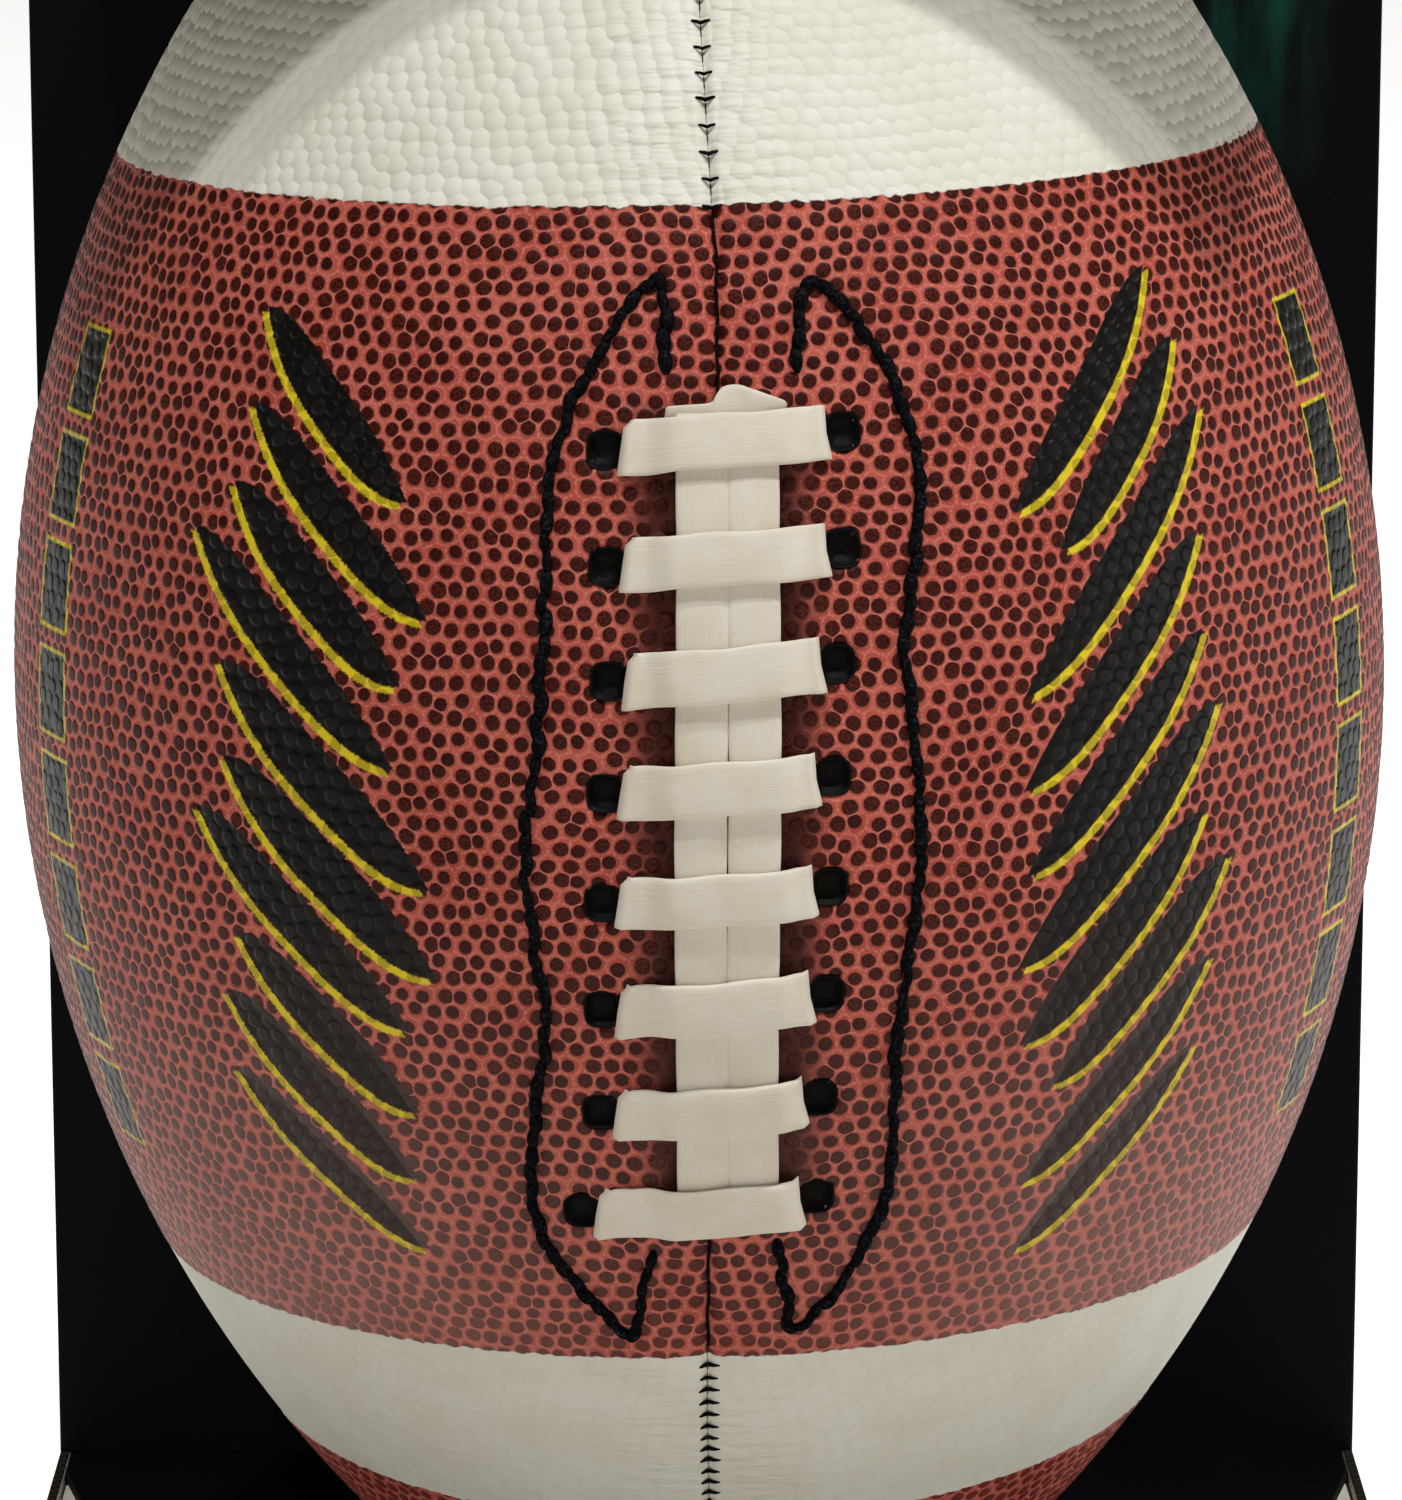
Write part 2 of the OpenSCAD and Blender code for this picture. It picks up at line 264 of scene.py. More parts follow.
def grid_faces(rows, cols, first=0, closed_cols=False, flip=False):
    """Quads of a grid of points stored row by row."""
    i, j = np.meshgrid(np.arange(rows - 1), np.arange(cols if closed_cols else cols - 1), indexing="ij")
    k = (j + 1) % cols
    quads = np.stack([i * cols + j, i * cols + k, (i + 1) * cols + k, (i + 1) * cols + j], -1).reshape(-1, 4)
    if flip:
        quads = quads[:, ::-1]
    return (quads + first).tolist()


def set_uv(obj, name, per_vertex):
    layer = obj.data.uv_layers.new(name=name)
    loops = np.empty(len(obj.data.loops), np.int32)
    obj.data.loops.foreach_get("vertex_index", loops)
    layer.data.foreach_set("uv", np.asarray(per_vertex, np.float32)[loops].ravel())


def finish_piece(obj, body, slot, *nodes):
    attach(obj, body)
    if nodes:
        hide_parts(*nodes)
    return obj


# ---------- Pebbled leather ----------

PEBBLE_PITCH = 2.35 * MM   # spacing of the pebbles
PEBBLE_RISE = 0.13 * MM
PEBBLE_JITTER = 0.34       # how far a pebble may stray from its place in the lattice, in pitches
BUTTON_R = 0.388           # radius of a round pebble, in pitches
BUTTON_SPREAD = 0.07       # how much that radius varies
CUSHION_R = 0.62           # radius of the wide pebbles of the white bands, in pitches
EDGE = 0.1 * MM            # half the softness of a painted edge


def pebble_pattern(n, skin, skew):
    """Adds the pebble pattern to a shader or geometry tree.

    Pebbles sit on a jittered triangular lattice in the skin coordinates; skew makes them round again where
    those coordinates shear. Gives the distance to the nearest pebble, how much farther the second nearest
    is (both in pitches) and a random value per pebble.
    """
    wander = n.wires(n.add("ShaderNodeTexNoise", {"Vector": skin, "Scale": 0.13, "Detail": 1.0}))[1]
    shift = n.vmath("SCALE", n.vmath("SUBTRACT", wander, (0.5, 0.5, 0.5)), 0.9)
    place = n.vmath("MULTIPLY", n.vmath("ADD", skin, shift), (1.0, 1.0, 0.0))
    row_height = math.sqrt(3) / 2
    part = n.split(place)
    row = part[1] / row_height
    column = n.math("ROUND", part[0] - row * 0.5)
    row = n.math("ROUND", row)
    home = n.join(column + row * 0.5, row * row_height)
    cell = n.join(column, row)
    offset = n.vmath("SUBTRACT", place, home)
    nearest, second, tone = 2.0, 2.0, 0.5
    for i, j in ((0, 0), (1, 0), (-1, 0), (0, 1), (0, -1), (1, -1), (-1, 1)):
        place = {"Vector": n.vmath("ADD", cell, (i, j, 0.0))}
        chance, spread = n.wires(n.add("ShaderNodeTexWhiteNoise", place, noise_dimensions="3D"))
        stray = n.vmath("MULTIPLY", spread, (PEBBLE_JITTER, PEBBLE_JITTER, 0.0))
        middle = (i + j / 2 - PEBBLE_JITTER / 2, j * row_height - PEBBLE_JITTER / 2, 0.0)
        apart = n.vmath("SUBTRACT", n.vmath("SUBTRACT", offset, middle), stray)
        sheared = n.vmath("SCALE", (1.0, 0.0, 0.0), n.vmath("DOT_PRODUCT", apart, (0.0, 1.0, 0.0)) * skew)
        distance = n.vmath("LENGTH", n.vmath("SUBTRACT", apart, sheared))
        closer = n.math("LESS_THAN", distance, nearest)
        tone = closer * chance + (1.0 - closer) * tone
        second = n.math("MINIMUM", second, n.math("MAXIMUM", nearest, distance))
        nearest = n.math("MINIMUM", nearest, distance)
    return nearest, second - nearest, tone


def pebble_rise(n, pattern, white, along):
    """Height of the leather's grain, 0 to 1: round buttons, or wider cushions where white is 1.

    The cushions are flatter on the lower white band.
    """
    nearest, fence, tone = pattern
    button_r = BUTTON_R + (tone - 0.5) * BUTTON_SPREAD
    button = n.ramp(nearest - button_r, 0.08, -0.14) * n.ramp(fence, 0.0, 0.12)
    dome = 1.0 - n.math("POWER", nearest / CUSHION_R, 2.0)
    cushion = n.math("MAXIMUM", dome, 0.0) * n.ramp(along, -20 * MM, 20 * MM, 0.2, 1.0)
    return button * (1.0 - white) + cushion * white


def skew_of(n, place):
    """Shear of the skin coordinates at a place, which holds the turn from the panel's middle and the arc."""
    part = n.split(place)
    slope = n.math("SINE", part[1] / ARC_R)
    return part[0] * slope * -1.0


def inside(n, value, low, high, soft):
    """1 where value lies between low and high."""
    return n.ramp(value, low - soft, low + soft) * n.ramp(value, high + soft, high - soft)


def white_bands(n, printed, ragged=0.0):
    """1 on the two white bands, whose outer edges run nearer to the tips at the front and rear seams."""
    reach = abs(printed[1]) + ragged
    sway = n.math("COSINE", printed[0] / (BALL_R / 2))
    outer = reach - sway * (1.8 * MM)
    return (n.ramp(reach, WHITE_FROM - EDGE, WHITE_FROM + EDGE)
            * n.ramp(outer, WHITE_TO + EDGE, WHITE_TO - EDGE))


def brush_strokes(n, x, y, middle_x, lean, seed):
    """Mask of one column of slanted strokes, thick in the middle and thin at both ends."""
    pitch = 10.4 * MM
    slanted = y + (x - middle_x) * lean
    turn = slanted / pitch
    index = n.math("FLOOR", turn)
    dice = n.add("ShaderNodeTexWhiteNoise", {"W": index + seed}, noise_dimensions="1D")
    roll = n.split(n.wires(dice)[1])
    middle = middle_x - 3.0 * MM + roll[0] * (6.0 * MM)
    half = 11.0 * MM + roll[1] * (5.5 * MM)
    t = (x - middle) / half
    body = 1.0 - n.math("POWER", abs(t), 3.2)
    thick = body * (0.33 + roll[2] * 0.09)
    across = abs(n.math("FRACT", turn) - 0.5)
    stroke = n.ramp(thick - across, -0.015, 0.015)
    return stroke * inside(n, index, -5.5, 4.5, 0.1)


def rail_blocks(n, x, y, middle_x, grow):
    """Mask of a row of plain blocks down one side of the ball."""
    pitch = 13.0 * MM
    t = abs(n.math("FRACT", y / pitch) - 0.5)
    tall = n.ramp(t, 0.38 + grow / pitch + 0.01, 0.38 + grow / pitch - 0.01)
    wide = n.ramp(abs(x - middle_x), 4.3 * MM + grow + 0.1 * MM,
                  4.3 * MM + grow - 0.1 * MM)
    return tall * wide * inside(n, y, -52 * MM, 52 * MM, 0.1 * MM)


def printed_marks(n, printed, fine):
    """Masks of the plain printed ornament: (black ink, yellow ink, dark green ink)."""
    wobble = (fine - 0.5) * (0.5 * MM)
    x = printed[0] + wobble
    y = printed[1] + wobble
    black, yellow, green = 0.0, 0.0, 0.0
    columns = ((-48 * MM, 0.85, 3.0, -0.75 * MM, -0.75 * MM), (54 * MM, -0.95, 40.0, 0.85 * MM, -0.6 * MM))
    for middle_x, lean, seed, shift_x, shift_y in columns:
        stroke = brush_strokes(n, x, y, middle_x, lean, seed)
        edge = brush_strokes(n, x - shift_x, y - shift_y, middle_x, lean, seed)
        black = n.math("MAXIMUM", black, stroke)
        yellow = n.math("MAXIMUM", yellow, edge)
    for middle_x in (-98 * MM, 99 * MM):
        green = n.math("MAXIMUM", green, rail_blocks(n, x, y, middle_x, 0.0))
        yellow = n.math("MAXIMUM", yellow, rail_blocks(n, x, y, middle_x, 0.5 * MM))
    return black, yellow, green


def shade_beside_lace(n, printed):
    """1 in the two sunk strips of leather beside the long runs of the lace, where the ground gets a painted
    shade.
    """
    across = abs(printed[0] - LACE_X)
    tall = inside(n, printed[1], -49 * MM, 47 * MM, 1.5 * MM)
    return n.ramp(across, 13 * MM, 7.5 * MM, 0.0, 0.95) * tall


def wrinkles(n, printed, white):
    """Long level wrinkles in the white leather where it is pulled towards the front seam."""
    near = n.ramp(abs(printed[0]), 22 * MM, 7 * MM) * white
    folded = n.vmath("MULTIPLY", n.join(printed[0], printed[1]), (110.0, 620.0, 1.0))
    return n.noise(folded, 1.0, 2.0, 0.5) * near


def painted_lower_sheen(n, printed):
    """Amount of a painted sheen on the ball's lower sides, standing in for the pale reflection of the floor,
    strongest away from the front and rear seams.
    """
    across = abs(printed[0])
    sides = n.ramp(across, 0.0, 60 * MM, 0.05, 0.3) * n.ramp(across, 130 * MM, 90 * MM)
    lower = n.ramp(printed[1], -5 * MM, -70 * MM) * n.ramp(printed[1], -95 * MM, -85 * MM)
    return sides * lower


def leather_material():
    n = new_material("pebbled_leather")
    skin = n.uv("skin")
    pattern = pebble_pattern(n, skin, skew_of(n, n.uv("place")))
    tone = pattern[2]
    printed = n.split(n.uv("print"))
    ragged = (n.noise(skin, 1.6, 1.0) - 0.5) * (1.0 * MM)
    white = white_bands(n, printed, ragged)
    rise = pebble_rise(n, pattern, white, printed[1])
    blotch = n.noise(skin, 0.22, 3.0)
    fine = n.noise(skin, 7.0, 2.0)

    ground = n.mix(n.ramp(blotch, 0.3, 0.7), rgb(166, 68, 54), rgb(186, 90, 75))
    # Painted highlight: the middle of the net between the pebbles is painted a paler pink, standing in for
    # light caught on the pebbles' edges.
    net_highlight = n.ramp(pattern[1], 0.26, 0.0) * n.ramp(fine, 0.35, 0.65, 0.1, 0.7)
    ground = n.mix(net_highlight, ground, rgb(222, 138, 124))
    # Painted shade: the ground beside the long runs of the lace is darkened, as if under the cross laces'
    # shadow.
    ground = n.mix(shade_beside_lace(n, printed), ground, rgb(56, 17, 12))
    ink = n.mix(n.ramp(fine, 0.35, 0.7), rgb(40, 3, 1), n.mix(tone, rgb(66, 14, 5), rgb(96, 32, 18)))
    # Painted sheen: low on the ball the ink fades part way to the ground colour, standing in for the pale
    # reflection there.
    ink = n.mix(n.ramp(printed[1], -45 * MM, -95 * MM, 0.0, 0.32), ink, ground)
    rough_rise = rise + (fine - 0.5) * 0.9
    red = n.mix(n.ramp(rough_rise, 0.25, 0.6), ground, ink)
    cream = n.mix(n.ramp(blotch, 0.3, 0.7), rgb(226, 224, 211), rgb(233, 232, 222))
    # Painted shade: the white leather is a darker grey-cream in the hollows between its cushions.
    cream = n.mix(n.ramp(rise, 0.2, 0.0, 0.0, 0.1), cream, rgb(190, 185, 164))
    black, yellow, green = printed_marks(n, printed, fine)
    gold = n.mix(n.ramp(rise, 0.2, 0.7, 0.0, 0.45), rgb(226, 204, 40), rgb(120, 96, 10))
    colour = n.mix(yellow, red, gold)
    colour = n.mix(green, colour, n.mix(rise, rgb(18, 22, 12), rgb(6, 9, 6)))
    colour = n.mix(black, colour, n.mix(rise * tone, rgb(9, 8, 8), rgb(26, 23, 22)))
    # Painted reflection: a pale pinkish sheen over the lower sides, weaker over the yellow ink.
    painted_sheen = painted_lower_sheen(n, printed) * (1.0 - yellow * 0.6)
    colour = n.mix(painted_sheen, colour, rgb(200, 166, 158))
    colour = n.mix(white, colour, cream)

    inked = n.math("MAXIMUM", black, n.math("MAXIMUM", yellow, green))
    rough = 0.45 + fine * 0.16 - inked * 0.1 - rise * 0.05
    level = rise + fine * 0.14 + wrinkles(n, printed, white) * 4.0 + rise * white * 0.5
    return n.paint(colour, rough, 0.16, 0.85, 0.18 * MM, level)


def relief_group():
    """Geometry nodes that raise the pebbles of the pattern which the leather's shader colours."""
    group = bpy.data.node_groups.new("pebble_relief", "GeometryNodeTree")
    group.interface.new_socket("Geometry", in_out="INPUT", socket_type="NodeSocketGeometry")
    group.interface.new_socket("Geometry", in_out="OUTPUT", socket_type="NodeSocketGeometry")
    n = Nodes(group)
    source = n.wires(n.add("NodeGroupInput"))[0]
    printed = n.split(n.attribute("print"))
    pattern = pebble_pattern(n, n.attribute("skin"), skew_of(n, n.attribute("place")))
    rise = pebble_rise(n, pattern, white_bands(n, printed), printed[1])
    offset = n.vmath("SCALE", n.attribute("outward"), rise * n.attribute("relief", "FLOAT"))
    moved = n.add("GeometryNodeSetPosition", {"Geometry": source, "Offset": offset})
    n.add("NodeGroupOutput", {0: n.wires(moved)[0]})
    return group


LEATHER = leather_material()
RELIEF = relief_group()


def lace_place(i):
    """(x, z) of the middle of cross lace i, seen upright from the ball's centre, and its half length."""
    drift = [2.7, 2.8, 2.6, 2.1, 1.8, 1.6, 1.1, -0.2][i] * MM
    half = [11.7, 11.6, 11.2, 11.2, 11.2, 11.1, 10.9, 11.9][i] * MM
    return drift, LACE_MID + (3.5 - i) * LACE_PITCH, half


CROSS_COUNT = 8
CROSS_TILT = math.radians(4)
HOLE_BEYOND = 1.7 * MM     # how far the middle of a lace hole lies beyond the end of its cross lace


def hole_places():
    """(turn, s) of the sixteen lace holes."""
    found = []
    for i in range(CROSS_COUNT):
        x, z, half = lace_place(i)
        for side in (-1, 1):
            reach = side * (half + HOLE_BEYOND)
            found.append(front_place(x + reach * math.cos(CROSS_TILT), z + reach * math.sin(CROSS_TILT)))
    return found


HOLES = hole_places()
VALVE_QUARTER = 1
VALVE_TURN = math.radians(152)
VALVE_S = ARC_R * math.asin(18 * MM / ARC_R)


def catmull(points, per_span=10):
    """A smooth line through points."""
    p = np.array([points[0], *points, points[-1]], float)
    out = []
    for i in range(1, len(p) - 2):
        for t in np.linspace(0, 1, per_span, endpoint=False):
            a = 2 * p[i]
            b = p[i + 1] - p[i - 1]
            c = 2 * p[i - 1] - 5 * p[i] + 4 * p[i + 1] - p[i + 2]
            d = -p[i - 1] + 3 * p[i] - 3 * p[i + 1] + p[i + 2]
            out.append(0.5 * (a + b * t + c * t * t + d * t ** 3))
    out.append(p[-2])
    return np.array(out)


# Outlines of the two lace stays, as x and z in millimetres from the ball's centre, seen upright.
STAY_LEFT = [(-3.8, 50), (-4, 57), (-5, 60), (-9, 55.5), (-14, 47.5), (-16.5, 39), (-17.3, 29), (-17.8, 18),
             (-18.6, 6), (-19.8, -4), (-19, -14), (-17.7, -24), (-18.8, -35), (-19.4, -46), (-17.3, -54),
             (-12.6, -60), (-8, -65), (-6.6, -58), (-5.4, -52)]
STAY_RIGHT = [(11, 50), (11.2, 56), (12.6, 59.4), (16, 57), (20.6, 51), (23.3, 44.5), (24.8, 37.5),
              (24.2, 28), (23.2, 19), (24, 9), (25.1, 0), (24.8, -9), (23.5, -18), (22.5, -28),
              (22.2, -37), (21.4, -46), (18.6, -54), (14.8, -60), (10.7, -63.8), (9.8, -58), (8.9, -52)]


def cover_grid(quarter, cols, rows):
    """turn and s of a grid over one quarter of the cover, from its left seam to its right one."""
    s = np.linspace(-1, 1, rows) * ARC_R * math.asin((BALL_HALF - 0.5 * MM) / ARC_R)
    left = seam_turn(quarter, s)
    right = seam_turn(quarter + 1, s) if (quarter + 1) % 4 else seam_turn(0, s) + 2 * math.pi
    u = np.linspace(0, 1, cols)
    u = 0.5 + 0.5 * np.sin((u - 0.5) * math.pi * 0.86) / math.sin(0.43 * math.pi)  # finer near the seams
    turn = left[:, None] + (right - left)[:, None] * u[None, :]
    return turn, np.repeat(s[:, None], cols, 1), left, right


def near_line(points_2d, line):
    """Distance from each point to the nearest point of a line, all in metres on the surface."""
    best = np.full(len(points_2d), 1.0)
    for a, b in zip(line[:-1], line[1:]):
        run = b - a
        t = np.clip(((points_2d - a) @ run) / max(run @ run, 1e-12), 0, 1)
        best = np.minimum(best, np.linalg.norm(points_2d - a - t[:, None] * run, axis=1))
    return best


def cover_lift(quarter, turn, s, left, right):
    """Height of the cover over the arc outline, before its pebbles: seam grooves, lace holes, sewn lines."""
    r = radius(s)
    edge = np.minimum(turn - left[:, None], right[:, None] - turn) * r
    lift = -0.6 * MM * np.exp(-(edge / (0.6 * MM)) ** 2) - 0.3 * MM * np.exp(-(edge / (3.0 * MM)) ** 2)
    dent = np.zeros_like(lift)
    if quarter in (0, 3):
        front_turn = np.where(turn > math.pi, turn - 2 * math.pi, turn)
        for hole_turn, hole_s in HOLES:
            d = np.hypot((front_turn - hole_turn) * r, s - hole_s)
            dent = np.maximum(dent, smooth(d, 2.5 * MM, 1.5 * MM))
        outline = STAY_LEFT if quarter == 3 else STAY_RIGHT
        line = catmull(outline, 4) * MM
        line_turn, line_s = front_place(line[:, 0], line[:, 1])
        line_2d = np.stack([line_turn * BALL_R, line_s], -1)
        close = (np.abs(front_turn) < math.radians(26)) & (np.abs(s) < 75 * MM)
        places = np.stack([front_turn[close] * BALL_R, s[close]], -1)
        groove = np.zeros_like(lift)
        groove[close] = np.exp(-(near_line(places, line_2d) / (0.8 * MM)) ** 2)
        lift -= 0.28 * MM * groove
        beside = np.abs(front_turn * BALL_R - LACE_X)
        slot = smooth(beside, 9.0 * MM, 6.2 * MM) * smooth(np.abs(s - LACE_MID), 49 * MM, 46 * MM)
        lift -= 0.5 * MM * slot
    if quarter == VALVE_QUARTER:
        d = np.hypot((turn - VALVE_TURN) * r, s - VALVE_S)
        dent = np.maximum(dent, 0.5 * smooth(d, 5.4 * MM, 4.2 * MM))
    lift -= 1.9 * MM * dent
    return lift, edge, dent


QUARTERS = ["front_right", "rear_right", "rear_left", "front_left"]


def cover_panel(quarter):
    """One quarter of the cover as a closed shell: a fine outer skin, turned edges, a coarse inner face."""
    name = QUARTERS[quarter]
    front = quarter in (0, 3)
    cols, rows = (170, 400) if front else (110, 260)
    turn, s, left, right = cover_grid(quarter, cols, rows)
    lift, edge, dent = cover_lift(quarter, turn, s, left, right)
    gap = 0.03 * MM / np.maximum(radius(s), 1 * MM)
    squeezed = np.clip(turn, left[:, None] + gap, right[:, None] - gap)
    outer = ball_points(squeezed, s, lift).reshape(-1, 3)
    outward = ball_normals(squeezed, s).reshape(-1, 3)

    inner_cols = 12
    pick = np.linspace(0, 1, inner_cols)
    inner_turn = squeezed[:, :1] + (squeezed[:, -1:] - squeezed[:, :1]) * pick[None, :]
    inner_s = np.repeat(s[:, :1], inner_cols, 1)
    inner = ball_points(inner_turn, inner_s, -COVER_T).reshape(-1, 3)
    base = rows * cols
    faces = grid_faces(rows, cols) + grid_faces(rows, inner_cols, base, flip=True)
    for i in range(rows - 1):
        a, b = i * cols, (i + 1) * cols
        c, d = base + i * inner_cols, base + (i + 1) * inner_cols
        faces.append([a, b, d, c])
        faces.append([b + cols - 1, a + cols - 1, c + inner_cols - 1, d + inner_cols - 1])
    top, inner_top = (rows - 1) * cols, base + (rows - 1) * inner_cols
    faces.append([*range(base, base + inner_cols), *reversed(range(cols))])
    faces.append([*range(top, top + cols), *reversed(range(inner_top, inner_top + inner_cols))])

    points = np.concatenate([outer, inner])
    obj = mesh_object(f"cover_{name}", points, faces, LEATHER)
    middle = (left + right)[:, None] / 2
    across = [(turn - middle) * radius(s), (inner_turn - middle) * radius(inner_s)]
    across = np.concatenate([part.ravel() for part in across])
    along = np.concatenate([s.ravel(), inner_s.ravel()])
    skin = np.stack([across, along], -1) / PEBBLE_PITCH + np.array([40.0 + 90.0 * quarter, 100.0])
    set_uv(obj, "skin", skin)
    from_middle = np.concatenate([(turn - middle).ravel(), (inner_turn - middle).ravel()])
    set_uv(obj, "place", np.stack([from_middle, along], -1))
    turns = np.concatenate([squeezed.ravel(), inner_turn.ravel()])
    if quarter > 1:
        turns -= 2 * math.pi
    level = along - STRIPE_TILT * radius(along) * np.sin(turns)
    set_uv(obj, "print", np.stack([turns * BALL_R, level], -1))

    relief = np.zeros(len(points))
    relief[:base] = (smooth(edge, 0.4 * MM, 1.6 * MM) * (1 - dent)).ravel() * PEBBLE_RISE
    data = obj.data.attributes.new("relief", "FLOAT", "POINT").data
    data.foreach_set("value", relief.astype(np.float32))
    vectors = np.zeros((len(points), 3), np.float32)
    vectors[:base] = outward
    obj.data.attributes.new("outward", "FLOAT_VECTOR", "POINT").data.foreach_set("vector", vectors.ravel())
    modifier = obj.modifiers.new("pebbles", "NODES")
    modifier.node_group = RELIEF
    apply_modifiers(obj)
    for attribute in ("relief", "outward"):
        obj.data.attributes.remove(obj.data.attributes[attribute])
    return finish_piece(obj, "ball", "cover_leather", f"panel_{name}")


def apply_modifiers(obj):
    """Keeps the mesh as its modifiers leave it, with no modifier left on the piece."""
    bpy.context.view_layer.update()
    graph = bpy.context.evaluated_depsgraph_get()
    mesh = bpy.data.meshes.new_from_object(obj.evaluated_get(graph), depsgraph=graph)
    obj.modifiers.clear()
    old = obj.data
    obj.data = mesh
    mesh.name = old.name
    bpy.data.meshes.remove(old)


for quarter in range(4):
    cover_panel(quarter)


# ---------- Lace ----------

def lace_material():
    n = new_material("ivory_lace")
    where = n.where()
    run = n.uv("run")
    stain = n.noise(where, 170.0, 3.0)
    line = n.noise(n.vmath("MULTIPLY", run, (0.22, 4.2, 1.0)), 1.0, 3.0, 0.6)
    fibre = n.noise(n.vmath("MULTIPLY", run, (1.2, 14.0, 1.0)), 1.0, 2.0)
    colour = n.mix(n.ramp(stain, 0.35, 0.7), rgb(226, 220, 205), rgb(219, 210, 190))
    colour = n.mix(n.ramp(line, 0.42, 0.75, 0.0, 0.28), colour, rgb(240, 236, 226))
    colour = n.mix(n.ramp(fibre, 0.64, 0.8, 0.0, 0.1), colour, rgb(168, 154, 132))
    return n.paint(colour, n.ramp(stain, 0.2, 0.8, 0.42, 0.56), 0.3, 0.3, 0.15 * MM, line + fibre * 0.3)


def hole_shade_material():
    n = new_material("hole_painted_shade")
    # Painted shade: the lace holes' cups are coloured near black to stand for the darkness inside the holes.
    speck = n.noise(n.where(), 1500.0, 3.0)
    colour = n.mix(n.ramp(speck, 0.4, 0.8), rgb(4, 4, 4), rgb(15, 14, 14))
    return n.paint(colour, n.ramp(speck, 0.2, 0.8, 0.5, 0.7), 0.12, 0.5, 0.15 * MM, speck)


IVORY = lace_material()
HOLE_SHADE = hole_shade_material()
LACE_T = 1.0 * MM
LACE_W = 6.2 * MM
STRAND_W = 5.8 * MM
STRAND_T = 0.95 * MM


def band_section(width, thick, count=28):
    """Rounded flat section of a lace: (across, up) pairs, with up from 0 at the underside."""
    out = []
    for k in range(count):
        a = 2 * math.pi * k / count
        c, d = math.cos(a), math.sin(a)
        x = math.copysign(abs(c) ** 0.22, c) * width / 2
        y = math.copysign(abs(d) ** 0.55, d) * thick / 2
        crown = 0.12 * thick * (1 - (2 * x / width) ** 2) if d > 0 else 0
        out.append((x, y + thick / 2 + crown))
    return np.array(out)


def cross_lace(i, dice):
    """One flat run across the long ones: it steps up over them, and its ends fold down at the holes."""
    x0, z0, half = lace_place(i)
    tilt = CROSS_TILT + math.radians(dice.uniform(-0.7, 0.7))
    section = band_section(LACE_W * dice.uniform(0.97, 1.03), LACE_T)
    across = section[:, 0] / LACE_W                      # -0.5 at the lower edge, 0.5 at the upper one
    low_corner = smooth(-across, 0.05, 0.5)
    left_end = (0.6 * low_corner - 1.3 * smooth(across, 0.25, 0.5) - 0.1) * MM
    right_end = (0.5 * low_corner - 0.2) * MM
    phase = dice.uniform(0, 6)
    points = []
    for t in np.concatenate([[-1.0], np.linspace(-0.996, 0.996, 64), [1.0]]):
        a = t * half + (right_end if t > 0 else -left_end) * smooth(abs(t), 0.72, 1.0)
        over = smooth(abs(x0 + t * half - LACE_X), STRAND_W + 3.5 * MM, STRAND_W - 0.1 * MM)
        last = smooth(abs(t), 0.93, 1.0)
        base = 0.12 * MM + (STRAND_T + 0.02 * MM) * over - 0.3 * MM * last
        b = section[:, 0] * (1 - 0.02 * over) + 0.08 * MM * math.sin(t * 5.3 + phase)
        b = b + 0.05 * MM * np.sign(section[:, 0]) * math.sin(t * 9 + phase)
        curl = 0.5 * MM * smooth(abs(t), 0.8, 0.97) * (np.abs(across) * 2) ** 3 * (1 - last)
        up = section[:, 1] * (1 - 0.35 * last) * (0.75 if abs(t) == 1 else 1)
        x = x0 + a * math.cos(tilt) - b * math.sin(tilt)
        z = z0 + a * math.sin(tilt) + b * math.cos(tilt)
        turn, s = front_place(x, z)
        points.append(ball_points(turn, s, base + up + curl * 0.6))
    return np.concatenate(points), len(points), len(section)


def lace_neck(i, side):
    """The part of a cross lace that goes down into its hole."""
    turn, s = HOLES[2 * i + (side > 0)]
    section = band_section(2.8 * MM, 1.0 * MM, 16)
    points = []
    for t in np.linspace(0, 1, 7):
        x = -side * (2.8 - 1.2 * t) * MM
        lift = (-0.6 - 1.6 * t * t) * MM + section[:, 1] * 0.8
        points.append(ball_points(turn + x / radius(s), s + section[:, 0], lift))
    return np.concatenate(points), len(points), len(section)


def tube_faces(rings, sides, first):
    faces = grid_faces(rings, sides, first, closed_cols=True)
    faces.append([first + k for k in range(sides)][::-1])
    last = first + (rings - 1) * sides
    faces.append([last + k for k in range(sides)])
    return faces


def joined_tubes(name, parts, material):
    """One mesh of several tubes; its "run" map holds millimetres along and around each of them."""
    points, faces, runs, first = [], [], [], 0
    for ring_points, rings, sides in parts:
        points.append(ring_points)
        faces += tube_faces(rings, sides, first)
        first += rings * sides
        grid = ring_points.reshape(rings, sides, 3)
        along = np.linalg.norm(np.diff(grid.mean(1), axis=0), axis=1).cumsum()
        around = np.linalg.norm(np.diff(grid[rings // 2], axis=0), axis=1).cumsum()
        along = np.concatenate([[0], along])[:, None] + 0 * grid[:, :, 0]
        around = np.concatenate([[0], around])[None, :] + 0 * grid[:, :, 0]
        runs.append(np.stack([along + first, around], -1).reshape(-1, 2) / MM)
    obj = mesh_object(name, np.concatenate(points), faces, material)
    set_uv(obj, "run", np.concatenate(runs))
    flip_if_inside_out(obj)
    return obj


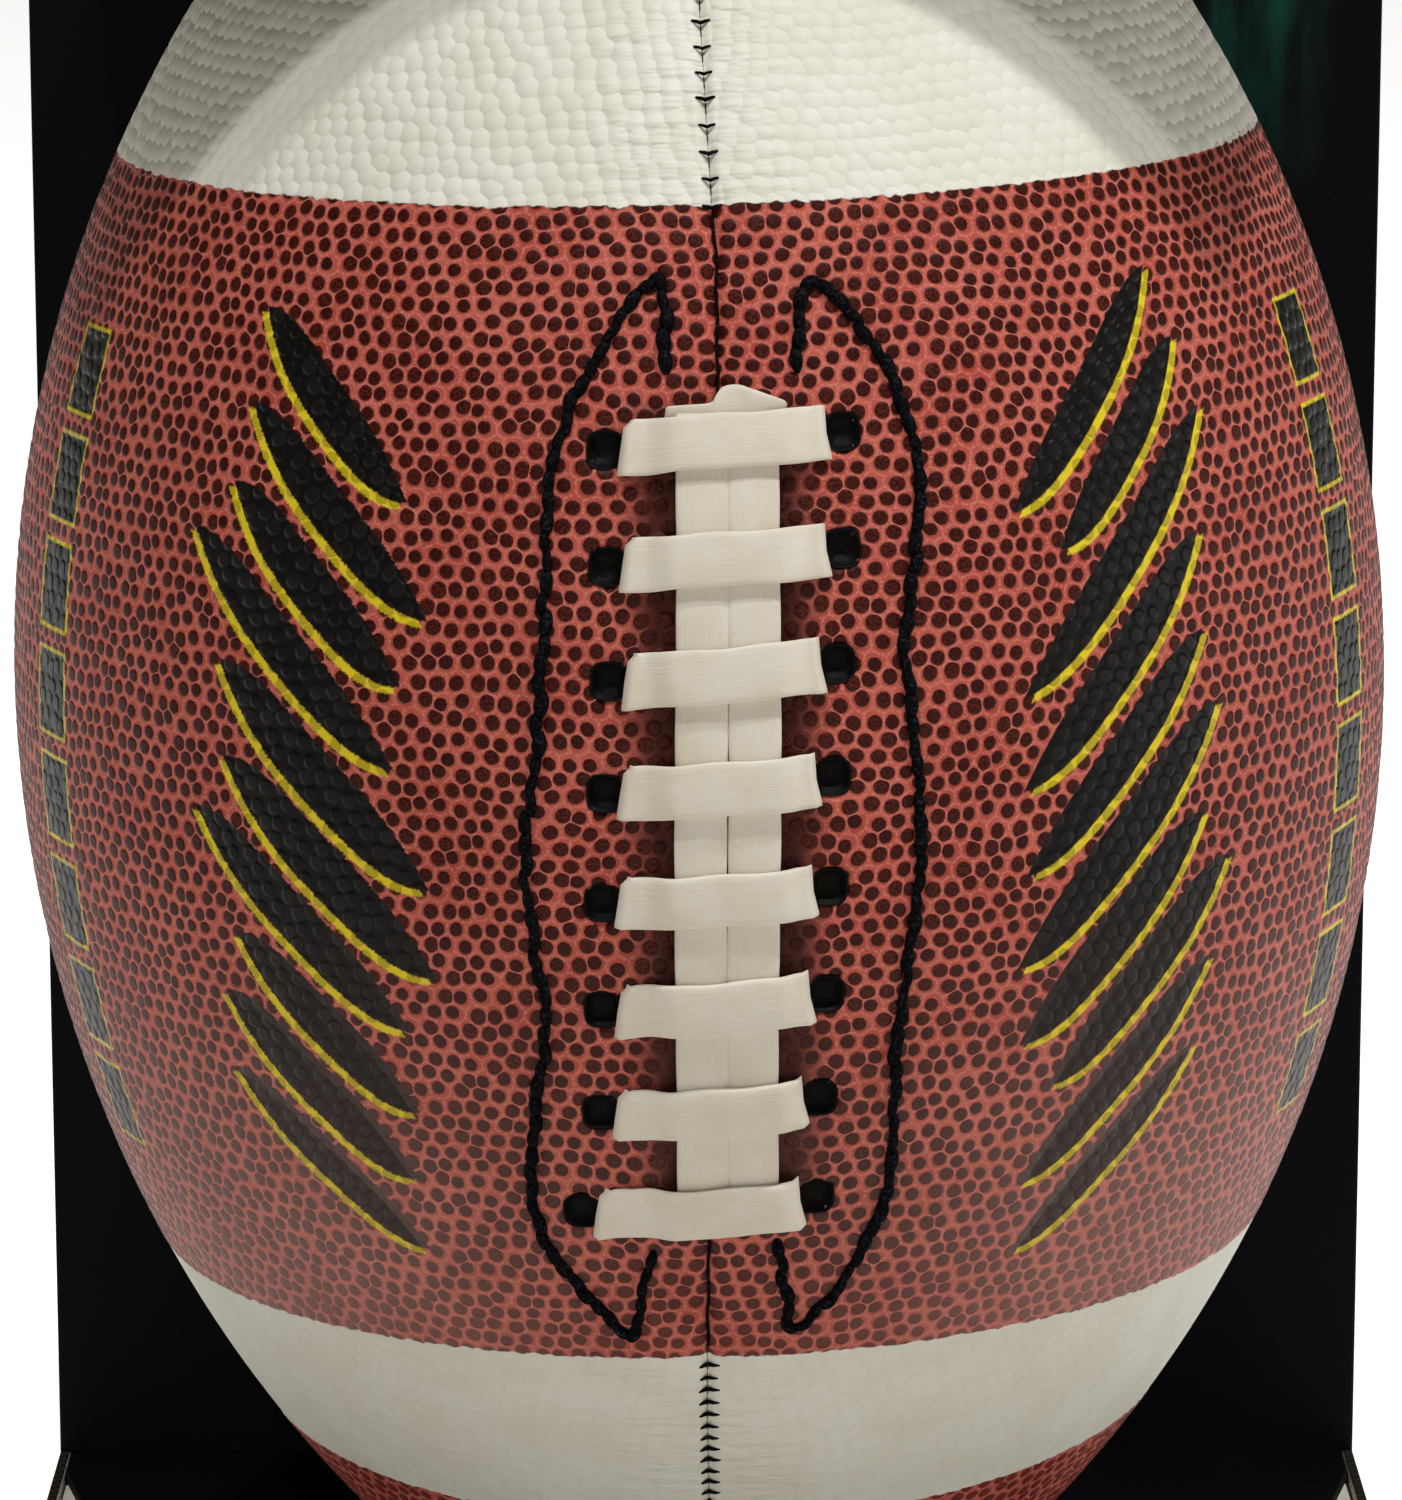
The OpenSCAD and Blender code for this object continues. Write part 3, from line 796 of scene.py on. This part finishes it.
def add_cross_laces():
    dice = random.Random(4)
    parts = [cross_lace(i, dice) for i in range(CROSS_COUNT)]
    parts += [lace_neck(i, side) for i in range(CROSS_COUNT) for side in (-1, 1)]
    obj = joined_tubes("lace_cross_runs", parts, IVORY)
    return finish_piece(obj, "ball", "lace_vinyl", "cross_laces")


def flip_if_inside_out(obj):
    bm = bmesh.new()
    bm.from_mesh(obj.data)
    bmesh.ops.recalc_face_normals(bm, faces=bm.faces)
    bm.to_mesh(obj.data)
    bm.free()


def lace_strand(side):
    """One of the two long runs that lie side by side under the cross laces."""
    section = band_section(STRAND_W, STRAND_T)
    low, high = -48.5 * MM, 45.4 * MM
    steps = 140
    points = []
    middle = LACE_X + side * (STRAND_W / 2 + 0.02 * MM)
    for z in np.linspace(low, high, steps):
        phase = (z - LACE_MID) / LACE_PITCH * 2 * math.pi
        swell = 0.5 + 0.5 * math.cos(phase)
        b = section[:, 0] * (1 + 0.03 * swell)
        wander = 0.12 * MM * math.sin(z * 90 + side)
        lift = 0.05 * MM + section[:, 1] * (1 - 0.06 * (1 - swell))
        turn, s = front_place(middle + wander + b, np.full_like(b, z))
        points.append(ball_points(turn, s, lift))
    name = "left" if side < 0 else "right"
    obj = joined_tubes(f"lace_long_run_{name}", [(np.concatenate(points), steps, len(section))], IVORY)
    return finish_piece(obj, "ball", "lace_vinyl", f"lace_strand_{name}")


# The fold of the lace's end that shows over the top cross lace. Each row is a rib of the fold, in millimetres:
# x, the z of its lower and upper end, and its height over the ball at each end.
TAIL_RIBS = [(-4.1, 44.2, 45.9, 0.4, 0.7), (-3.7, 44.2, 46.2, 0.5, 1.3), (-1, 44.3, 46.4, 0.7, 1.4),
             (0.9, 44.3, 46.6, 0.8, 1.5), (1.5, 44.3, 47.4, 0.9, 1.7), (2.3, 44.4, 48.3, 0.9, 1.6),
             (3.9, 44.5, 48.5, 0.9, 1.7), (5.4, 44.6, 48.0, 0.9, 2.0), (7.4, 44.8, 47.3, 0.8, 1.9),
             (9.0, 45.0, 46.8, 0.6, 1.2), (9.5, 45.1, 46.4, 0.3, 0.6)]


def lace_tail():
    """The lace's end, folded into a wedge over the top cross lace."""
    ribs = catmull(TAIL_RIBS, 4)
    points = []
    around = 20
    angles = np.arange(around) * 2 * math.pi / around
    for x0, z_low, z_high, low, high in ribs * MM:
        c, d = np.cos(angles), np.sin(angles)
        share = 0.5 + 0.5 * np.sign(c) * np.abs(c) ** 0.4
        rise = low + (high - low) * share
        lift = rise * (0.5 + 0.5 * np.sign(d) * np.abs(d) ** 0.5)
        turn, s = front_place(x0 + 0.3 * MM * share, z_low + (z_high - z_low) * share)
        points.append(ball_points(turn, s, lift - 0.1 * MM))
    obj = joined_tubes("lace_tail", [(np.concatenate(points), len(ribs), around)], IVORY)
    return finish_piece(obj, "ball", "lace_vinyl", "lace_end")


def hole_cups():
    """Cups in the lace holes, a rounded square rim with a sunk middle, painted near black as the shade inside
    the holes.
    """
    points, faces = [], []
    rings = ((2.35, -0.6), (2.2, 0.0), (2.0, -0.25), (1.75, -0.8), (1.2, -1.25), (0.6, -1.5))
    around = 28
    for turn, s in HOLES:
        first = len(points)
        for reach, lift in rings:
            for k in range(around):
                a = 2 * math.pi * k / around
                square = (abs(math.cos(a)) ** 3.4 + abs(math.sin(a)) ** 3.4) ** (-1 / 3.4)
                du = reach * 0.95 * square * math.cos(a) * MM
                dv = reach * square * math.sin(a) * MM
                points.append(ball_points(turn + du / radius(s), s + dv, lift * MM))
        points.append(ball_points(turn, s, -1.55 * MM))
        faces += grid_faces(len(rings), around, first, closed_cols=True)
        last = first + (len(rings) - 1) * around
        faces += [[last + k, last + (k + 1) % around, len(points) - 1] for k in range(around)]
    obj = mesh_object("lace_hole_cups", points, faces, HOLE_SHADE)
    return finish_piece(obj, "ball", "black_thread")


# ---------- Thread ----------

def thread_material():
    n = new_material("black_thread")
    twist_and_glint = n.noise(n.where(), 2600.0, 2.0)
    # Painted glints: lighter bluish flecks in the black thread; the same noise gives its twisted relief.
    colour = n.mix(n.ramp(twist_and_glint, 0.5, 0.75), rgb(6, 6, 7), rgb(38, 40, 50))
    return n.paint(colour, 0.8, 0.06, 0.7, 0.1 * MM, twist_and_glint)


THREAD = thread_material()


def thread_tube(turn, s, lift, thick, sides=6):
    """One length of thread through places on the ball, as (points, rings, sides)."""
    path = ball_points(turn, s, lift)
    along = np.gradient(path, axis=0)
    along /= np.linalg.norm(along, axis=1)[:, None]
    side = np.cross(along, ball_normals(turn, s))
    side /= np.linalg.norm(side, axis=1)[:, None]
    up = np.cross(side, along)
    a = np.arange(sides) * 2 * math.pi / sides
    ring = np.cos(a)[None, :, None] * side[:, None, :] + np.sin(a)[None, :, None] * up[:, None, :]
    points = path[:, None, :] + np.asarray(thick)[:, None, None] / 2 * ring
    return points.reshape(-1, 3), len(path), sides


def stay_stitches(name, outline, dice):
    """Short black stitches that sew one lace stay to the cover."""
    line = catmull(outline, 12) * MM
    turn, s = front_place(line[:, 0], line[:, 1])
    flat = np.stack([turn * BALL_R, s], -1)
    run = np.concatenate([[0], np.cumsum(np.linalg.norm(np.diff(flat, axis=0), axis=1))])
    pitch = 2.3 * MM
    parts = []
    t = np.linspace(0, 1, 9)
    for k in range(int(run[-1] / pitch)):
        at = (k + t * 1.14) * pitch
        x = np.interp(at, run, flat[:, 0])
        y = np.interp(at, run, flat[:, 1])
        across = np.stack([-np.gradient(y), np.gradient(x)], -1)
        across /= np.linalg.norm(across, axis=1)[:, None]
        sway = (dice.uniform(-0.32, 0.32) + dice.uniform(-0.5, 0.5) * (t - 0.5)) * MM
        x = x + across[:, 0] * sway
        y = y + across[:, 1] * sway
        lift = (-0.42 + 0.62 * np.sin(t * math.pi) ** 0.7) * MM
        thick = (1.0 + 0.5 * np.sin(t * math.pi)) * dice.uniform(0.8, 1.2) * MM
        parts.append(thread_tube(x / BALL_R, y, lift, thick))
    obj = joined_tubes(f"stay_stitches_{name}", parts, THREAD)
    return finish_piece(obj, "ball", "black_thread", f"stay_thread_{name}")


# Shape of one seam stitch: offset to the right, offset up, height over the ball, all in millimetres.
WIDE_STITCH = [(-1.2, 0.14, -0.7), (-0.95, 0.12, -0.25), (-0.45, 0.02, -0.22), (0, -0.12, -0.34),
               (0.45, 0.02, -0.22), (0.95, 0.16, -0.25), (1.2, 0.2, -0.7)]
SHORT_STITCH = [(-1.3, -0.55, -0.75), (-0.8, -0.3, -0.42), (0, 0.05, -0.5), (0.7, 0.1, -0.22),
                (1.3, 0.05, -0.3), (1.5, 0.0, -0.7)]


def seam_stitches():
    """The stitches that show in the four seams, and the thread that runs along the bottom of each."""
    dice = random.Random(11)
    parts = []
    for which in range(4):
        for low, high, pitch, shape in ((-125, -70, 2.05, SHORT_STITCH), (70, 125, 3.25, WIDE_STITCH)):
            bends = np.array(shape) * MM
            for at in np.arange(low, high, pitch) * MM:
                size = dice.uniform(0.9, 1.08)
                s = at + bends[:, 1] * size + dice.uniform(-0.1, 0.1) * MM
                turn = seam_turn(which, s) + bends[:, 0] * size / radius(s)
                thick = np.full(len(bends), 0.52 * MM * size)
                thick *= 1 - 0.45 * np.abs(bends[:, 0]) / bends[-1, 0]
                parts.append(thread_tube(turn, s, bends[:, 2], thick))
                tail = at + np.linspace(-0.3, -0.5 * pitch, 4) * MM
                tail_turn = seam_turn(which, tail)
                parts.append(thread_tube(tail_turn, tail, np.full(4, -0.78 * MM), np.full(4, 0.12 * MM), 5))
        spans = ((-122, -96), (-69, 69), (96, 122))
        for low, high in spans:
            s = np.linspace(low, high, int((high - low) / 1.5)) * MM
            wave = 0.1 * MM * np.sin(s / (1.1 * MM))
            turn = seam_turn(which, s) + wave / radius(s)
            parts.append(thread_tube(turn, s, -0.72 * MM + 0 * s, 0.4 * MM + 0 * s, 5))
    obj = joined_tubes("seam_stitches", parts, THREAD)
    return finish_piece(obj, "ball", "black_thread", "seam_threads")


# ---------- Valve and the layers under the cover ----------

def speckled(name, dark, light, scale, rough):
    """A plain close-grained material: rubber, hide or raw board."""
    n = new_material(name)
    speck = n.noise(n.where(), scale, 4.0, 0.6)
    colour = n.mix(n.ramp(speck, 0.35, 0.75), dark, light)
    roughness = n.ramp(speck, 0.2, 0.8, rough - 0.08, rough + 0.08)
    return n.paint(colour, roughness, 0.3, 0.5, 0.1 * MM, speck)


def woven(name, dark, light):
    """Plain woven cloth, its threads 0.6 mm apart."""
    n = new_material(name)
    where = n.where()
    part = n.split(where)
    turns = 10500.0
    weave = (n.math("SINE", part[0] * turns) * n.math("SINE", part[2] * turns) + 1.0) * 0.5
    level = weave + n.noise(where, 900.0, 3.0) * 0.5
    return n.paint(n.mix(n.ramp(level, 0.2, 1.2), dark, light), 0.9, 0.5, 0.6, 0.1 * MM, level)


# Turned profile of the valve: distance from its middle and height over the ball, in millimetres.
VALVE_PROFILE = [(3.95, -2.1), (3.95, -0.7), (3.7, -0.3), (3.1, -0.18), (2.3, -0.35), (1.9, -0.4), (1.3, -0.12),
                 (0.9, -0.1), (0.55, -0.3), (0.35, -0.6), (0.2, -0.8)]


def valve_plug():
    """Round rubber valve with a needle hole, sunk in the cover."""
    around = 40
    angles = np.arange(around) * 2 * math.pi / around
    points = []
    for reach, lift in VALVE_PROFILE:
        turn = VALVE_TURN + reach * MM * np.cos(angles) / radius(VALVE_S)
        points.append(ball_points(turn, VALVE_S + reach * MM * np.sin(angles), lift * MM))
    rings = len(VALVE_PROFILE)
    obj = mesh_object("valve_plug", np.concatenate(points), tube_faces(rings, around, 0), RUBBER)
    flip_if_inside_out(obj)
    return finish_piece(obj, "ball", "valve_rubber", "valve")


def paint_node(name, material):
    """Gives a CAD node that stays as it is a procedural material."""
    for slot in frame["nodes"][name].material_slots:
        slot.material = material


RUBBER = speckled("valve_rubber", rgb(16, 16, 17), rgb(34, 34, 36), 1800.0, 0.6)
valve_plug()
paint_node("bladder", speckled("bladder_rubber", rgb(20, 20, 21), rgb(44, 43, 42), 300.0, 0.5))
paint_node("lace_tongue", speckled("tongue_hide", rgb(50, 22, 14), rgb(84, 44, 30), 600.0, 0.75))
CLOTH = woven("stay_fabric", rgb(170, 164, 150), rgb(214, 210, 198))
for covered in ("lining", "lace_stay_left", "lace_stay_right"):
    paint_node(covered, CLOTH)
paint_node("lid_tuck_flap", speckled("raw_board", rgb(206, 198, 182), rgb(236, 231, 220), 500.0, 0.85))

add_cross_laces()
lace_strand(-1)
lace_strand(1)
lace_tail()
hole_cups()
stay_stitches("left", STAY_LEFT, random.Random(5))
stay_stitches("right", STAY_RIGHT, random.Random(6))
seam_stitches()


# ---------- Carton ----------

BEVEL = 0.35 * MM


def printed_colour(n, where, grain, cloud):
    """Black print with a dim teal patch high on the right of the back panel."""
    part = n.split(where)
    colour = n.mix(n.ramp(cloud, 0.3, 0.7), rgb(9, 9, 12), rgb(14, 14, 18))
    colour = n.mix(n.ramp(grain, 0.66, 0.8, 0.0, 0.5), colour, rgb(34, 34, 38))
    patch = inside(n, part[0], 60 * MM, 82 * MM, 6 * MM) * n.ramp(part[2], 190 * MM, 225 * MM)
    patch = patch * n.ramp(part[2], 278 * MM, 276 * MM)
    patch = patch * inside(n, part[1], 80 * MM, 88.2 * MM, 0.4 * MM)
    streak = n.noise(n.vmath("MULTIPLY", where, (1.0, 1.0, 0.2)), 220.0, 2.0)
    patch = patch * n.ramp(streak, 0.35, 0.65, 0.1, 0.8)
    return n.mix(patch, colour, rgb(22, 84, 72))


def board_material():
    """Board printed black on one face or both, which shows its pale fibres and fluted edge elsewhere."""
    n = new_material("carton_board")
    where = n.where()
    part = n.split(where)
    kind, depth, _ = n.split(n.uv("board"))
    is_edge = inside(n, kind, 0.5, 1.5, 0.1)
    is_raw = n.ramp(kind, 1.4, 1.6)
    grain = n.noise(where, 700.0, 3.0)
    cloud = n.noise(where, 14.0, 3.0)
    fibre = n.noise(n.vmath("MULTIPLY", where, (1.0, 3.0, 3.0)), 500.0, 4.0, 0.65)
    black = printed_colour(n, where, grain, cloud)
    pale = n.mix(n.ramp(fibre, 0.3, 0.7), rgb(222, 217, 205), rgb(238, 234, 224))
    along = part[0] + part[1] + part[2]
    wave = n.math("SINE", along / (0.36 * MM)) * 0.26
    off = abs(depth - 0.5 - wave)
    core = n.mix(n.ramp(off, 0.1, 0.2), rgb(58, 54, 42), rgb(30, 28, 22))
    core = n.mix(n.ramp(abs(depth - 0.5), 0.36, 0.4), core, rgb(44, 41, 32))
    core = n.mix(n.ramp(abs(depth - 0.5), 0.44, 0.47), core, rgb(24, 22, 22))
    colour = n.mix(is_raw, n.mix(is_edge, black, core), pale)
    bare = n.math("MAXIMUM", is_edge, is_raw)
    rough = n.ramp(cloud, 0.2, 0.8, 0.42, 0.58) + bare * 0.32
    level = cloud * 2.0 + (grain + fibre * bare)
    return n.paint(colour, rough, 0.06, 0.4, 0.05 * MM, level)


BOARD = board_material()


def dress_board(obj, low, high, printed):
    """Marks each face as printed (0), cut edge (1) or raw (2), with the depth through the board beside it."""
    size = high - low
    thin = min(range(3), key=lambda k: size[k])
    layer = obj.data.uv_layers.new(name="board")
    for polygon in obj.data.polygons:
        straight = polygon.normal[thin]
        if abs(straight) < 0.5:
            kind = 1.0
        elif printed == "both" or (straight > 0) == (printed == "+"):
            kind = 0.0
        else:
            kind = 2.0
        if printed == "none" and kind == 0.0:
            kind = 2.0
        for loop in polygon.loop_indices:
            point = obj.data.vertices[obj.data.loops[loop].vertex_index].co
            layer.data[loop].uv = (kind, (point[thin] - low[thin]) / size[thin])


def add_slab(bm, low, high, warp):
    """A flat board with rounded edges and a slight warp, made in a bmesh."""
    size = high - low
    thin = min(range(3), key=lambda k: size[k])
    matrix = Matrix.Translation((low + high) / 2) @ Matrix.Diagonal((*size, 1.0))
    made = bmesh.ops.create_cube(bm, size=1.0, matrix=matrix)["verts"]
    edges = list({e for v in made for e in v.link_edges})
    bevelled = bmesh.ops.bevel(bm, geom=edges, offset=min(BEVEL, size[thin] * 0.3), segments=2,
                               affect="EDGES", profile=0.5)
    verts = {v for f in bevelled["faces"] for v in f.verts}
    for axis in range(3):
        cuts = int(min(size[axis] / (12 * MM), 14)) if axis != thin else 0
        for k in range(1, cuts):
            parts = {e for v in verts for e in v.link_edges} | {f for v in verts for f in v.link_faces} | verts
            normal = Vector((axis == 0, axis == 1, axis == 2))
            level = low + size * (k / cuts)
            cut = bmesh.ops.bisect_plane(bm, geom=list(parts), plane_co=level, plane_no=normal)
            verts |= {g for g in cut["geom_cut"] if isinstance(g, bmesh.types.BMVert)}
    for v in verts:
        t = [(v.co[k] - low[k]) / size[k] for k in range(3)]
        bend = math.prod(math.sin(math.pi * min(max(t[k], 0), 1)) for k in range(3) if k != thin)
        v.co[thin] += warp * bend


def board_piece(node, body, printed, warp=0.0, boxes=None, extra=""):
    """A carton board in place of its CAD node; boxes lists its separate flaps when it has several.

    With extra, the boxes are further flaps beside that node, which stays as it is.
    """
    low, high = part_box(node)
    bm = bmesh.new()
    for a, b in boxes or [(low, high)]:
        add_slab(bm, Vector(a), Vector(b), warp)
    mesh = bpy.data.meshes.new(f"board_{node}{extra}")
    bm.to_mesh(mesh)
    bm.free()
    mesh.materials.append(BOARD)
    obj = bpy.data.objects.new(mesh.name, mesh)
    bpy.context.scene.collection.objects.link(obj)
    first = boxes[0] if boxes else (low, high)
    dress_board(obj, Vector(first[0]), Vector(first[1]), printed)
    slot = "raw_board" if printed == "none" else "printed_board"
    return finish_piece(obj, body, slot, *([] if extra else [node]))


def outline_reach(outline, angle):
    """Distance from the middle to a closed outline in one direction."""
    d = Vector((math.cos(angle), math.sin(angle)))
    for a, b in zip(outline, outline[1:] + outline[:1]):
        a, run = Vector(a), Vector(b) - Vector(a)
        cross = d.x * run.y - d.y * run.x
        if abs(cross) < 1e-12:
            continue
        t = (a.x * run.y - a.y * run.x) / cross
        u = (a.x * d.y - a.y * d.x) / cross
        if t > 0 and -1e-9 <= u <= 1 + 1e-9:
            return t
    return 0.0


def holed_board(node, body, printed, outline, hole_r):
    """A board with a round hole in its middle, its lips and outer edges rounded."""
    low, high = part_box(node)
    corners = [math.atan2(y, x) % (2 * math.pi) for x, y in outline]
    angles = sorted({*corners, *(k * math.pi / 64 for k in range(128))})
    points = []
    top = [("hole", 0.0, BEVEL), ("hole", 0.1 * MM, 0.1 * MM), ("hole", BEVEL, 0.0)]
    top += [("share", f, 0.0) for f in (0.1, 0.3, 0.5, 0.7, 0.9)]
    top += [("rim", BEVEL, 0.0), ("rim", 0.1 * MM, 0.1 * MM), ("rim", 0.0, BEVEL)]
    ring = [(kind, value, high.z - down) for kind, value, down in top]
    ring += [(kind, value, low.z + down) for kind, value, down in reversed(top)]
    for kind, value, z in ring:
        for angle in angles:
            reach = outline_reach(outline, angle)
            r = {"hole": hole_r + value, "rim": reach - value, "share": hole_r + (reach - hole_r) * value}[kind]
            points.append((r * math.cos(angle), r * math.sin(angle), z))
    faces = grid_faces(len(ring), len(angles), closed_cols=True)
    last = (len(ring) - 1) * len(angles)
    faces += [[last + k, last + (k + 1) % len(angles), (k + 1) % len(angles), k] for k in range(len(angles))]
    obj = mesh_object(f"board_{node}", points, faces, BOARD, smooth_faces=False)
    flip_if_inside_out(obj)
    dress_board(obj, Vector(low), Vector(high), printed)
    return finish_piece(obj, body, "printed_board", node)


def islands(node):
    """The boxes of the separate flaps in one CAD node, left to right and front to back."""
    bm = bmesh.new()
    bm.from_mesh(frame["nodes"][node].data)
    bmesh.ops.remove_doubles(bm, verts=bm.verts, dist=0.001 * MM)
    world = frame["nodes"][node].matrix_world
    left, boxes = set(bm.verts), []
    while left:
        stack, seen = [left.pop()], []
        while stack:
            v = stack.pop()
            seen.append(world @ v.co)
            for e in v.link_edges:
                other = e.other_vert(v)
                if other in left:
                    left.discard(other)
                    stack.append(other)
        boxes.append(tuple([pick(p[k] for p in seen) for k in range(3)] for pick in (min, max)))
    bm.free()
    return sorted(boxes)


def build_carton():
    low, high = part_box("seat_panel")
    w, d = high.x, high.y
    waist = w - 4.5 * MM
    side = [(w, d), (w, d - 9 * MM), (waist, d - 27 * MM)]
    quarter = side + [(x, -y) for x, y in reversed(side)]
    holed_board("seat_panel", "carton", "+", quarter + [(-x, -y) for x, y in quarter], 17.2 * MM)
    under = low.z - 0.1 * MM
    flap = [(w - 11 * MM, 10 * MM - d, under - 1.4 * MM), (w - 0.1 * MM, d - 10 * MM, under)]
    mirrored = [(-flap[1][0], flap[0][1], flap[0][2]), (-flap[0][0], flap[1][1], flap[1][2])]
    board_piece("seat_panel", "carton", "none", boxes=[flap, mirrored], extra="_side_flaps")
    low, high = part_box("hood_panel")
    square = [(high.x, high.y), (high.x, low.y), (low.x, low.y), (low.x, high.y)]
    holed_board("hood_panel", "hood", "-", square, 19.8 * MM)
    board_piece("back_panel", "carton", "both", 0.25 * MM)
    board_piece("seat_glue_flap", "carton", "none")
    board_piece("base_bottom", "carton", "-", 0.1 * MM)
    board_piece("base_front_wall", "carton", "-")
    board_piece("base_left_wall", "carton", "-")
    board_piece("base_right_wall", "carton", "+")
    board_piece("base_glue_flaps", "carton", "none", boxes=islands("base_glue_flaps"))
    board_piece("hood_fold", "carton", "both")
    board_piece("hood_front_wall", "hood", "-")
    board_piece("hood_left_wall", "hood", "-")
    board_piece("hood_right_wall", "hood", "+")
    board_piece("hood_back_wall", "hood", "+")
    board_piece("hood_dust_flaps", "hood", "none", boxes=islands("hood_dust_flaps"))
    board_piece("hood_lid", "lid", "+", -0.2 * MM)


build_carton()

# ---------- Camera, light and floor ----------

CAMERA_FROM_BALL = Vector((-0.00075, -0.83098, 0.17202))
CAMERA_LENS = 163.04       # in millimetres, for a sensor 36 mm wide
CAMERA_DOWN = 0.2160       # how far the camera looks down, in radians
FLOOR_HALF = 12.0


def add_camera():
    data = bpy.data.cameras.new("camera")
    data.lens = CAMERA_LENS
    data.sensor_width = 36.0
    camera = bpy.data.objects.new("camera", data)
    bpy.context.scene.collection.objects.link(camera)
    camera.location = BALL_CENTRE + CAMERA_FROM_BALL
    camera.rotation_euler = (math.pi / 2 - CAMERA_DOWN, 0.0007, -0.0013)
    data.clip_start = 0.01
    bpy.context.scene.camera = camera


def area_light(name, place, aim, size, power):
    data = bpy.data.lights.new(name, "AREA")
    data.shape = "RECTANGLE"
    data.size, data.size_y = size
    data.energy = power
    lamp = bpy.data.objects.new(name, data)
    lamp.location = place
    lamp.rotation_euler = (Vector(aim) - Vector(place)).to_track_quat("-Z", "Y").to_euler()
    bpy.context.scene.collection.objects.link(lamp)


def add_studio():
    scene = bpy.context.scene
    world = bpy.data.worlds.new("studio")
    scene.world = world
    world.use_nodes = True
    background = world.node_tree.nodes["Background"]
    background.inputs["Color"].default_value = (1.0, 0.86, 0.72, 1)
    background.inputs["Strength"].default_value = 0.13
    aim = BALL_CENTRE
    area_light("key_left", (-0.35, -0.7, 1.97), aim, (0.08, 0.08), 13)
    area_light("key_right", (0.75, -0.45, 1.96), aim, (0.08, 0.08), 19)
    area_light("front_fill", (0.1, -2.2, 0.25), aim, (2.2, 1.4), 8.5)
    area_light("side_fill", (1.7, -0.3, 0.2), aim, (1.4, 0.7), 4.5)
    n = new_material("floor_white")
    where = n.where()
    behind = n.ramp(n.split(where)[1], -0.06, 0.1)
    near = n.mix(n.noise(where, 6.0), rgb(248, 245, 238), rgb(252, 249, 243))
    looks = {"Base Color": n.mix(behind, near, rgb(254, 254, 254)), "Roughness": 0.8,
             "Emission Color": (1, 1, 1, 1), "Emission Strength": behind * 0.7}
    for name, value in looks.items():
        n.put(n.shader.inputs[name], value)
    corners = [(-FLOOR_HALF, -FLOOR_HALF, 0), (FLOOR_HALF, -FLOOR_HALF, 0),
               (FLOOR_HALF, FLOOR_HALF, 0), (-FLOOR_HALF, FLOOR_HALF, 0)]
    floor = mesh_object("floor", corners, [(0, 1, 2, 3)], n.material, smooth_faces=False)
    scene.view_settings.view_transform = "Standard"


add_camera()
add_studio()
